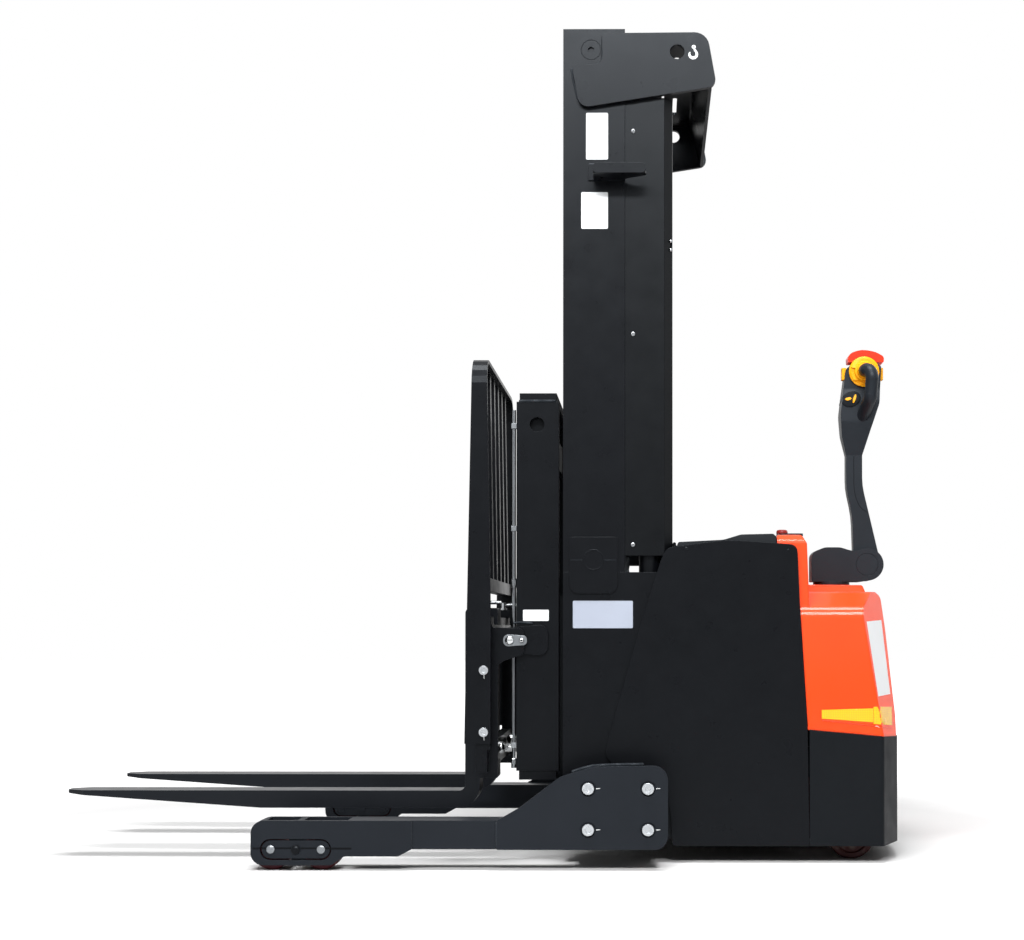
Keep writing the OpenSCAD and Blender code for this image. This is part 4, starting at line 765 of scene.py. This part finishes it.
    def piece(self, name: str, finish: Finish, body: str | Stretch, slot: str = "",
              side: Side = Side.NEAR, bevel: float = 0.0) -> bpy.types.Object:
        """Turns the blank into a piece of the stacker.

        Args:
            name: The piece's name.
            finish: Its finish.
            body: CAD body that it rides on, or the two that it runs between; such a piece stays
                where it is, on no body.
            slot: The record's material slot that its finish belongs to; not used.
            side: Near as drawn, far as its mirror image, or both.
            bevel: Width of the broken edges, or 0.

        Returns:
            The new object.
        """
        if side is not Side.NEAR:
            flip = Matrix.Scale(-1, 4, Vector((0, 1, 0)))
            if side is Side.BOTH:
                copy = bmesh.ops.duplicate(self.bm, geom=self.bm.verts[:] + self.bm.edges[:]
                                           + self.bm.faces[:])["geom"]
                verts = [g for g in copy if isinstance(g, bmesh.types.BMVert)]
            else:
                verts = self.bm.verts[:]
            bmesh.ops.transform(self.bm, matrix=flip, verts=verts)
        if bevel:
            sharp = [e for e in self.bm.edges if e.is_manifold and e.calc_face_angle() > BEVEL_FROM]
            bmesh.ops.bevel(self.bm, geom=sharp, offset=bevel, segments=2, profile=0.5,
                            affect="EDGES", clamp_overlap=True)
        bmesh.ops.recalc_face_normals(self.bm, faces=self.bm.faces[:])
        to_frame = Matrix.Scale(0.001, 4) @ Matrix.Translation((DATUM_X, 0, 0))
        bmesh.ops.transform(self.bm, matrix=to_frame, verts=self.bm.verts[:])
        mesh = bpy.data.meshes.new(name)
        self.bm.to_mesh(mesh)
        self.bm.free()
        made = bpy.data.objects.new(name, mesh)
        bpy.context.scene.collection.objects.link(made)
        mesh.shade_smooth()
        mesh.set_sharp_from_angle(angle=math.radians(SHARP_DEGREES))
        FINISHES.dress(made, finish)
        if isinstance(body, Stretch):
            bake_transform(made)
        else:
            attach(made, body)
        LOG.info("piece %s rides on %s", name, body)
        return made


@dataclass
class FrameDress:
    """Gives every CAD node its own listed finish, or else the finish of its material slot."""

    def build(self) -> None:
        """Assigns the finishes."""
        for row in frame["record"]["subparts"]:
            node = row["node"]
            finish = NODE_FINISH.get(node, SLOT_FINISH[row["material_slot"]])
            FINISHES.dress(frame["nodes"][node], finish)
            LOG.info("node %s is %s", node, finish.name)


@dataclass
class MastTrim:
    """Films, welds, screws and marks on the mast and its covers."""

    face_y: float = -415.0
    plate_y: float = -431.0
    cover_y: float = -413.0
    cover_screw_x: float = -50.4
    cover_screw_z: tuple[float, ...] = (1942, 1401, 841)
    clip_z: tuple[float, ...] = (1628.5, 1651.5)
    cross_bolt_z: tuple[float, ...] = (2048, 2088)
    cross_bolt_y: tuple[float, ...] = (-395, -372)
    upper_film: tuple[Flat, Flat] = ((-175.2, -116.8), (1865.4, 1990.1))
    lower_film: tuple[Flat, Flat] = ((-187.9, -116.8), (1680.7, 1778.3))
    data_plate: tuple[Flat, Flat] = ((-209.7, -50.6), (619.3, 692))
    ring_centre: Flat = (110.8, 2160.5)
    hose_y: tuple[float, ...] = (-330, 330)
    bead_r: float = 3.4

    def films(self) -> None:
        """Blank stickers and the blank data plate on the mast's flank."""
        lift = self.face_y - 0.15
        for name, (x, z) in (("mast_film_upper", self.upper_film),
                             ("mast_film_lower", self.lower_film)):
            Blank().slab(rounded(x, z, 3.5), (lift, lift - 0.4)).piece(
                name, VINYL, "chassis", side=Side.BOTH)
        plate = Blank().slab(rounded(*self.data_plate, 3), (lift, lift - 0.8))
        plate.piece("data_plate_blank", FOIL, "chassis", bevel=0.25)

    def hook_sign(self) -> None:
        """Plain crane hook beside the lifting eye, the generic lifting sign."""
        y = self.plate_y - 0.1
        line = [(111.5, y, 2157), (113.5, y, 2152.5), (117.2, y, 2147.5), (119.2, y, 2141.5),
                (117.6, y, 2135.5), (113.2, y, 2131.8), (107.6, y, 2131.2), (102.6, y, 2133.6),
                (99.6, y, 2138.2), (99.4, y, 2143.4), (101.4, y, 2147.6)]
        widths = (4.6, 5, 5.6, 6.4, 7.2, 7.8, 7.8, 7.2, 6.2, 4.6, 1.2)
        sign = Blank().ribbon(line, widths, NEARWARD)
        ring = oval(self.ring_centre, 3.6, 3.6)
        sign.ribbon([(u, y, v) for u, v in [*ring, ring[0]]], (3.2,), NEARWARD)
        sign.piece("lifting_hook_sign", VINYL, "chassis", side=Side.BOTH)

    def screws(self) -> None:
        """Button screws of the mast covers, their clips and the cross-member's bolts."""
        heads = Blank()
        for z in self.cover_screw_z:
            place = (self.cover_screw_x, self.cover_y + 0.5, z)
            heads.screw(place, NEARWARD, 6.2, Drive.BUTTON)
        for z in self.clip_z:
            heads.screw((50, -396, z), (0.94, -0.34, 0), 4.6, Drive.BUTTON)
        heads.piece("mast_cover_screws", ZINC, "chassis", "zinc_plate", Side.BOTH)
        bolts = Blank()
        for z in self.cross_bolt_z:
            for y in self.cross_bolt_y:
                bolts.screw((-54, y, z), (1, 0, 0), 8, Drive.HEX)
        bolts.piece("crossmember_bolts", ZINC, "chassis", "zinc_plate", Side.BOTH)

    def welds(self) -> None:
        """Beads round the top plates and under the step bracket."""
        y = self.face_y - 1.2
        edge = [(-131, 2196), (-131, 2138), (-136, 2123), (-153, 2115.5), (-203, 2114),
                (-213.5, 2104), (-208, 2072), (-197, 2026)]
        seam = Blank().bead([(x, y, z) for x, z in edge], self.bead_r)
        seam.bead([(-168, y, 1852.5), (-76, y, 1852.5)], 3)
        seam.piece("mast_plate_welds", BEAD, "chassis", "charcoal_paint", Side.BOTH)

    def lines(self) -> None:
        """Parting lines of the base plate's cap."""
        y = self.face_y - 6.15
        cut = Blank().ribbon([(-216, y, 800), (-184, y, 800)], (1.1,), NEARWARD, 0.2)
        cut.ribbon([(-126, y, 800), (-94, y, 800)], (1.1,), NEARWARD, 0.2)
        cut.piece("base_plate_lines", BEAD, "chassis", "charcoal_paint", Side.BOTH)

    def hoses(self) -> None:
        """Lift hoses looped behind the mast above the frame, and their plated unions."""
        loops = Blank()
        for y in self.hose_y:
            loops.swept(smooth([(-2, y, 806), (6, y, 790), (20, y, 783), (34, y, 792),
                                (38, y, 811)]), 5)
        loops.piece("lift_hoses", HOSE, "chassis", "black_plastic")
        unions, nut = Blank(), [(7, 0), (7, 9), (5.6, 10), (5.6, 15)]
        for y in self.hose_y:
            for x, z in ((-2, 799), (38, 806)):
                unions.turned(nut, (x, y, z), UP, 6)
        unions.piece("lift_hose_unions", ZINC, "chassis", "zinc_plate")

    def build(self) -> None:
        """Builds all of it."""
        self.films()
        self.hook_sign()
        self.screws()
        self.welds()
        self.lines()
        self.hoses()


@dataclass
class LeafChains:
    """Leaf chain runs, link by link, in place of the plain CAD bars."""

    pitch: float = 19.05
    plate_h: float = 13.6
    width: float = 26.0
    rows: int = 5
    y: float = 250.0
    top_z: float = 2114.0
    rear: Flat = (-73.7, 760.3)
    front: Flat = (-166.3, 496.3)

    def link(self, blank: Blank, x: float, z: float, y: Flat) -> None:
        """Adds one link plate with its waist, from one pin to the next.

        Args:
            blank: The run that it belongs to.
            x: Its middle along X.
            z: Height of its lower pin.
            y: Its two faces.
        """
        r, waist = self.plate_h / 2, self.plate_h / 2 - 1.9
        mid = self.pitch / 2
        half = [(r * math.sin(a), -r * math.cos(a)) for a in
                (math.radians(t) for t in (0, 35, 70, 100))]
        right = [*half, (waist, mid), *[(u, self.pitch - v) for u, v in half[::-1]]]
        left = [(-u, v) for u, v in right[-2:0:-1]]
        blank.slab([(x + u, z + v) for u, v in right + left], y)

    def run(self, x: float, z0: float, z1: float) -> Blank:
        """One chain between two heights.

        Args:
            x: Its middle along X.
            z0: Its lower end.
            z1: Its upper end.

        Returns:
            A blank that holds it.
        """
        blank = Blank()
        count = int((z1 - z0 - self.plate_h) // self.pitch)
        start = z0 + self.plate_h / 2
        step = self.width / self.rows
        for i in range(count + 1):
            z = start + i * self.pitch
            blank.turned([(3.4, 0), (3.4, self.width)], (x, -self.y - self.width / 2, z),
                         (0, 1, 0), 8)
            for row in range(self.rows):
                if i < count and row % 2 == i % 2:
                    y = -self.y - self.width / 2 + row * step
                    self.link(blank, x, z, (y + 0.4, y + step - 0.4))
        return blank

    def build(self) -> None:
        """Builds both pairs, link by link, and hides the CAD runs."""
        for name, (x, z), low in (("rear_chains", self.rear, "chassis"),
                                  ("front_chains", self.front, "lift_carriage")):
            ends = Stretch(low, "inner_mast", x, z, self.top_z)
            made = self.run(x, z, self.top_z).piece(f"{name}_links", CHAIN, ends,
                                                    "oiled_chain", Side.BOTH)
            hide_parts(name)


@dataclass
class CarriageTrim:
    """Film, welds, pins and pipework on the lift carriage and fork carriage."""

    face_y: float = -380.0
    bolt_x: float = -441.0
    bolt_z: tuple[float, ...] = (347, 509)
    rest_y: float = -470.0
    film: tuple[Flat, Flat] = ((-344.3, -275.3), (638.6, 668.5))
    tube: Flat = (-370, -355)
    union_z: tuple[float, ...] = (741, 262)
    hinge: Flat = (-378, 587)
    cap_y: float = -412.0
    keeper_x: float = -346.0

    def column(self) -> None:
        """Blank film and beads on the carriage's columns."""
        lift = self.face_y - 0.15
        film = Blank().slab(rounded(*self.film, 2.5), (lift, lift - 0.4))
        film.piece("column_film", VINYL, "lift_carriage", side=Side.BOTH)
        seam = Blank().bead([(-356, self.face_y + 1, 1227), (-256, self.face_y + 1, 1227)], 4.4)
        seam.bead([(-372, self.face_y - 1, 633), (-352, self.face_y - 1, 635),
                   (-318, self.face_y - 1, 632)], 3)
        seam.piece("column_welds", BEAD, "lift_carriage", "charcoal_paint", Side.BOTH)

    def pipework(self) -> None:
        """Hex unions on the carriage's tubes."""
        nuts = Blank()
        for z in self.union_z:
            nuts.turned([(7.9, -7), (7.9, 7), (6, 9)], (*self.tube, z), UP, 6)
        nuts.piece("tube_unions", ZINC, "lift_carriage", "zinc_plate", Side.BOTH)

    def fork_side(self) -> None:
        """Paint marks under the backrest bolts."""
        marks = Blank()
        for z in self.bolt_z:
            marks.ribbon([(self.bolt_x + 0.6, self.rest_y - 0.1, z - 12.6),
                          (self.bolt_x + 1.2, self.rest_y - 0.1, z - 22)], (2.2, 1.2), NEARWARD)
        marks.piece("backrest_bolt_marks", MARK, "fork_carriage", side=Side.BOTH)

    def pin_caps(self) -> None:
        """Domed ends of the tilt hinge pins and the screws of their keeper plates."""
        x, z = self.hinge
        caps = Blank().turned([(12, 0), (11.4, 2.2), (8.5, 4.4), (4, 5.6), (0, 5.9)],
                              (x, self.cap_y, z), NEARWARD)
        caps.screw((self.keeper_x, self.cap_y - 2.8, z), NEARWARD, 6.5, Drive.BUTTON)
        caps.piece("hinge_pin_caps", CHROME, "lift_carriage", "hard_chrome", Side.BOTH)

    def build(self) -> None:
        """Builds all of it."""
        self.column()
        self.pipework()
        self.fork_side()
        self.pin_caps()


@dataclass
class LegTrim:
    """Paint marks, beads, axle ends and painted shade for the slots on the straddle legs."""

    face_y: float = -595.0
    bolt_x: tuple[float, ...] = (-163, -10)
    bolt_z: tuple[float, ...] = (105, 210)
    axle_x: tuple[float, ...] = (-974.5, -910, -845.5)
    axle_z: float = 54.0
    arm_slots: tuple[Flat, ...] = ((-1020, -1000.5), (-823, -767))
    cheek_slots: tuple[Flat, ...] = ((-996, -985.5), (-963.5, -922), (-898, -856.5),
                                     (-834.5, -824))
    slot_z: float = 57.0

    def marks(self) -> None:
        """Paint marks from each leg bolt to the plate beside it."""
        dabs, near, far = Blank(), self.face_y - 0.1, self.face_y - 3.2
        for x in self.bolt_x:
            for z in self.bolt_z:
                on_plate = [(x + 20.5, near, z), (x + 31, near, z + 0.6)]
                on_bolt = [(x + 8, far, z - 0.4), (x + 13, far, z - 0.2)]
                dabs.ribbon(on_plate, (2.4, 1.4), NEARWARD)
                dabs.ribbon(on_bolt, (2, 2.2), NEARWARD)
        dabs.piece("leg_bolt_marks", MARK, "chassis", side=Side.BOTH)

    def build(self) -> None:
        """Builds all of it."""
        self.marks()
        seam = Blank().bead([(-206, -582, 251), (-180, -582, 259.5), (-152, -582, 266.5),
                             (-110, -582, 269), (-20, -582, 271)], 5)
        seam.bead([(-397, -590.5, 60), (-397, -590.5, 124)], 3.6)
        seam.bead([(-394, -590.5, 129), (-330, -590.5, 129), (-210, -590.5, 129)], 3.2)
        seam.bead([(-614.5, -589.5, 60), (-614.5, -589.5, 124)], 3.4)
        seam.piece("leg_welds", BEAD, "chassis", "charcoal_paint", Side.BOTH)
        # Painted shade: dark strips stand for the shaded insides of the wheel arms' slots
        slots = Blank()
        for ends in self.arm_slots:
            slots.ribbon([(x, self.face_y - 0.1, self.slot_z) for x in ends], (5,),
                         NEARWARD, 0.15)
        slots.piece("wheel_arm_slots", SEAM, "chassis", side=Side.BOTH)
        self.bogies()

    def bogies(self) -> None:
        """Axle heads, pivot cap and painted shade for the slot across each tandem bogie's cheek."""
        for side, body in ((Side.NEAR, "bogie_near"), (Side.FAR, "bogie_far")):
            face = SURFACES.hit("bogie_near", (-940, -900, 66), (0, 1, 0))[0].y
            heads = Blank()
            for x in (self.axle_x[0], self.axle_x[2]):
                heads.turned([(10.5, 0), (10.5, 1.6), (9, 2.6), (0, 3)],
                             (x, face + 0.2, self.axle_z), NEARWARD)
            heads.piece(f"{body}_axle_heads", GROUND, body, "ground_steel", side)
            cap = Blank().turned([(11.5, 0), (11, 2.4), (7.5, 5), (3, 6), (0, 6.2)],
                                 (self.axle_x[1], -594.6, self.axle_z), NEARWARD)
            cap.piece(f"{body}_pivot_cap", CHARCOAL, "chassis", "charcoal_paint", side)
            # Painted shade: dark strips stand for the shaded slot across the cheek
            cut = Blank()
            for ends in self.cheek_slots:
                cut.ribbon([(x, face - 0.05, self.slot_z) for x in ends], (4.5,),
                           NEARWARD, 0.15)
            cut.piece(f"{body}_slot", SEAM, body, side=side)


@dataclass
class HoodTrim:
    """Film, reflector ends and lips of the hood, and the side covers' screws.

    The three outlines are picture points, from the top left corner of the photograph: a
    sight line through each finds the hood's rounded corner.
    """

    film: tuple[Flat, ...] = ((866.1, 621.8), (880.6, 620.4), (889.4, 694.1), (877.6, 696.4))
    tail: tuple[Flat, ...] = ((872.8, 706.8), (890.6, 706.8), (891.2, 725.1), (872.8, 723.8))
    lip: tuple[Flat, ...] = ((821.2, 720.2), (850, 723.4), (876.6, 726.4), (890.6, 727.9))

    def build(self) -> None:
        """Builds all of it."""
        sticker = Blank().patch("hood", self.film, rings=8)
        sticker.piece("hood_film", VINYL, "chassis", side=Side.BOTH)
        Blank().patch("hood", self.tail, thick=0.8).piece(
            "reflector_tails", PRISM, "chassis", "reflector", Side.BOTH)
        Blank().line("hood", self.lip, 1.3).piece(
            "reflector_lips", GLOSS_COVER, "chassis", "orange_cover", Side.BOTH)
        screws = Blank().screw((91, -430, 830), NEARWARD, 4.5, Drive.BUTTON)
        screws.screw((360, -430, 826), NEARWARD, 3.2, Drive.BUTTON)
        screws.piece("side_cover_screws", MOULDED, "chassis", "black_plastic", Side.BOTH)


@dataclass
class DashTrim:
    """Key switch, meter window and stop collar on the dash."""

    top: float = 875.0

    def build(self) -> None:
        """Builds all of it."""
        window = Blank().plan([(v, u) for u, v in rounded((64, 126), (360, 392), 4)],
                              (self.top + 1.6, self.top + 2.4))
        window.piece("meter_window", GLASS, "chassis", "black_plastic", bevel=0.3)
        barrel = Blank().turned([(19, 1), (19, 4), (17.5, 5.5), (9, 5.8), (8.4, 8), (0, 8)],
                                (374, 170, self.top - 1), UP)
        barrel.plan(rounded((371.6, 376.4), (159, 181), 2), (self.top + 7, self.top + 8.6))
        barrel.piece("key_switch", NICKEL, "chassis", "zinc_plate")
        collar = Blank().turned([(24, 0), (24, 1.6), (22.5, 2.6), (13.5, 2.6), (13.5, 0)],
                                (374, 0, self.top + 0.05), UP)
        collar.piece("stop_collar", YELLOW, "chassis", "yellow_plastic")


@dataclass
class TillerTrim:
    """Grip roots, throttle wings, control panel and parting lines of the tiller."""

    hub: Flat = (606, 1352)
    face: float = 44.4
    arm_y: float = -22.1
    # Picture points: the middle of the thumb pad and of its two keys
    panel: Flat = (851.1, 400.0)
    left_key: Flat = (848.2, 399.8)
    right_key: Flat = (854.4, 399.6)

    def wing(self, blank: Blank, start: float, end: float) -> None:
        """Adds one raised wing of a throttle.

        Args:
            blank: Where it goes.
            start: Angle in degrees of its edge, where it is highest.
            end: Angle at which it meets the disc.
        """
        rows = []
        for i in range(7):
            t = i / 6
            angle = math.radians(start + (end - start) * t)
            height = 6 * (1 - t) ** 1.4 + 0.2
            rows.append(blank.ring([
                Vector((self.hub[0] + r * math.cos(angle), -self.face + 0.6 - lift * height,
                        self.hub[1] + r * math.sin(angle)))
                for r, lift in ((24, 0), (39, 0), (40.5, 0.35), (38, 0.8), (30, 1), (25, 0.9))]))
        blank.skin(rows)

    def controls(self) -> None:
        """Thumb pad with its two keys."""
        pad = Blank().patch("tiller_head", oval(self.panel, 9.8, 7.6, -22), thick=1.4)
        pad.piece("control_panel", SKIRT, "tiller", "black_plastic", Side.BOTH, 0.5)
        keys = Blank()
        for at, rx, ry, tilt in ((self.left_key, 3.3, 1.5, -12), (self.right_key, 1.3, 4.6, 18)):
            keys.patch("tiller_head", oval(at, rx, ry, tilt, 12), lift=1.4, thick=1.8, rings=3)
        keys.piece("control_keys", YELLOW, "tiller", "yellow_plastic", Side.BOTH, 0.5)

    def build(self) -> None:
        """Builds all of it."""
        root = Blank().turned([(22.5, 0), (22.5, 2), (20.8, 6), (19.4, 11), (18.6, 14), (18.6, 0)],
                              (self.hub[0], -50.6, self.hub[1]), NEARWARD)
        root.piece("grip_roots", YELLOW, "throttle", "yellow_plastic", Side.BOTH)
        wings = Blank()
        self.wing(wings, 163, 95)
        self.wing(wings, -17, -85)
        wings.piece("throttle_wings", YELLOW, "throttle", "yellow_plastic", Side.BOTH)
        self.controls()
        # Painted shade: a dark strip stands for the shaded groove of the arm's parting line
        y = self.arm_y
        line = smooth([(578, y, 1112), (578, y, 1060), (579, y, 1020), (585, y, 990),
                       (597, y, 966), (617, y, 950)])
        Blank().ribbon(line, (1.4,), NEARWARD, 0.2).piece(
            "arm_parting_line", SEAM, "tiller", side=Side.BOTH)


@dataclass
class Studio:
    """White floor, soft lamps and the camera that took the photograph's view.

    Lengths are in metres here. Seen by the camera, the floor turns into plain white between
    the two distances of fade_m, and keeps its shadows nearer than that.
    """

    key_power: float = 70.0
    strip_power: float = 410.0
    top_power: float = 190.0
    rear_power: float = 45.0
    world_level: float = 0.2
    floor_half_m: float = 30.0
    fade_m: Flat = (1.7, 3.6)
    paper_tone: float = 0.8
    seen_tone: float = 0.92
    lens_mm: float = 64.999
    shift: Flat = (-0.12, 0.13)
    eye: Point = (0.44865, -5.3139, 0.6186)
    yaw: float = -0.4929
    pitch: float = 0.7854
    roll: float = 0.0063

    def floor(self) -> None:
        """White floor that keeps the shadows."""
        mesh, h = bpy.data.meshes.new("floor"), self.floor_half_m
        mesh.from_pydata([(-h, -h, 0), (h, -h, 0), (h, h, 0), (-h, h, 0)], [], [(0, 1, 2, 3)])
        ground = bpy.data.objects.new("floor", mesh)
        bpy.context.scene.collection.objects.link(ground)
        paper = bpy.data.materials.new("white_paper_roll")
        paper.use_nodes = True
        tree = paper.node_tree
        tree.nodes.clear()
        path = add(tree, "LightPath")
        place = add(tree, "TexCoord").outputs["Object"]
        away = add(tree, "VectorMath", {"operation": "LENGTH"}, {0: place})
        far = add(tree, "MapRange",
                  {"From Min": self.fade_m[0], "From Max": self.fade_m[1]},
                  {"Value": away.outputs["Value"]})
        seen = add(tree, "Math", {"operation": "MULTIPLY"},
                   {0: path.outputs["Is Camera Ray"], 1: far.outputs[0]})
        glow = add(tree, "Emission", {"Color": (1, 1, 1, 1)},
                   {"Strength": seen.outputs[0]})
        tone = add(tree, "Mix",
                   {"data_type": "RGBA", 6: (*[self.paper_tone] * 3, 1),
                    7: (*[self.seen_tone] * 3, 1)}, {0: path.outputs["Is Camera Ray"]})
        matt = add(tree, "BsdfDiffuse", None, {"Color": tone.outputs[2]})
        both = add(tree, "AddShader", None, {0: matt.outputs[0], 1: glow.outputs[0]})
        add(tree, "OutputMaterial", None, {"Surface": both.outputs[0]})
        mesh.materials.append(paper)

    def surroundings(self) -> None:
        """White world: plain white when looked at, mirrored or seen through, dim as a lamp."""
        world = bpy.data.worlds.new("white_studio")
        bpy.context.scene.world = world
        world.use_nodes = True
        tree = world.node_tree
        tree.nodes.clear()
        path = add(tree, "LightPath")
        seen = path.outputs["Is Camera Ray"]
        for kind in ("Is Glossy Ray", "Is Transmission Ray"):
            seen = add(tree, "Math", {"operation": "MAXIMUM"},
                       {0: seen, 1: path.outputs[kind]}).outputs[0]
        level = add(tree, "MapRange", {"To Min": self.world_level, "To Max": 1.0},
                    {"Value": seen}).outputs[0]
        sky = add(tree, "Background", {"Color": (1, 1, 1, 1)}, {"Strength": level})
        add(tree, "OutputWorld", None, {"Surface": sky.outputs[0]})

    def lamp(self, name: str, place: Point, aim: Point, size: Flat, power: float) -> None:
        """Hangs one softbox.

        Args:
            name: Its name.
            place: Where it hangs.
            aim: Point that it faces.
            size: Its width and height.
            power: Its power in watts.
        """
        light = bpy.data.lights.new(name, "AREA")
        light.shape, light.size, light.size_y, light.energy = "RECTANGLE", *size, power
        thing = bpy.data.objects.new(name, light)
        thing.location = place
        thing.rotation_euler = (Vector(aim) - Vector(place)).to_track_quat("-Z", "Y").to_euler()
        bpy.context.scene.collection.objects.link(thing)

    def camera(self) -> None:
        """Sets the camera where the photograph's perspective puts it."""
        data = bpy.data.cameras.new("camera")
        data.sensor_fit, data.sensor_width, data.lens = "HORIZONTAL", 36.0, self.lens_mm
        data.shift_x, data.shift_y = self.shift
        data.clip_end = 200
        yaw, pitch = math.radians(self.yaw), math.radians(self.pitch)
        look = Vector((math.sin(yaw) * math.cos(pitch), math.cos(yaw) * math.cos(pitch),
                       math.sin(pitch)))
        thing = bpy.data.objects.new("camera", data)
        turn = look.to_track_quat("-Z", "Y").to_matrix().to_4x4()
        thing.matrix_world = (Matrix.Translation(self.eye) @ turn
                              @ Matrix.Rotation(math.radians(self.roll), 4, "Z"))
        bpy.context.scene.collection.objects.link(thing)
        bpy.context.scene.camera = thing

    def build(self) -> None:
        """Builds floor, world, lamps and camera."""
        bpy.context.scene.view_settings.view_transform = "Standard"
        self.floor()
        self.surroundings()
        self.lamp("key_softbox", (-0.4, -6.2, 4.5), (0.4, 0, 1.2), (6.0, 2.7), self.key_power)
        self.lamp("high_strip", (0.3, -6.3, 4.7), (0.4, 0, 1.8), (5.0, 0.6), self.strip_power)
        self.lamp("top_softbox", (0.3, -1.2, 4.6), (0.1, 0.0, 0), (2.6, 1.2), self.top_power)
        self.lamp("rear_softbox", (4.5, 3.5, 3.2), (0.4, 0, 0.9), (3.0, 2.5),
                  self.rear_power)
        self.camera()


def main() -> None:
    """Builds the studio, dresses the frame and adds every fitting in order."""
    logging.basicConfig(level=logging.INFO, format="%(message)s")
    for part in (Studio(), FrameDress(), MastTrim(), LeafChains(), CarriageTrim(), LegTrim(),
                 HoodTrim(), DashTrim(), TillerTrim()):
        part.build()
        LOG.info("%s done", type(part).__name__)


if __name__ == "__main__":
    main()
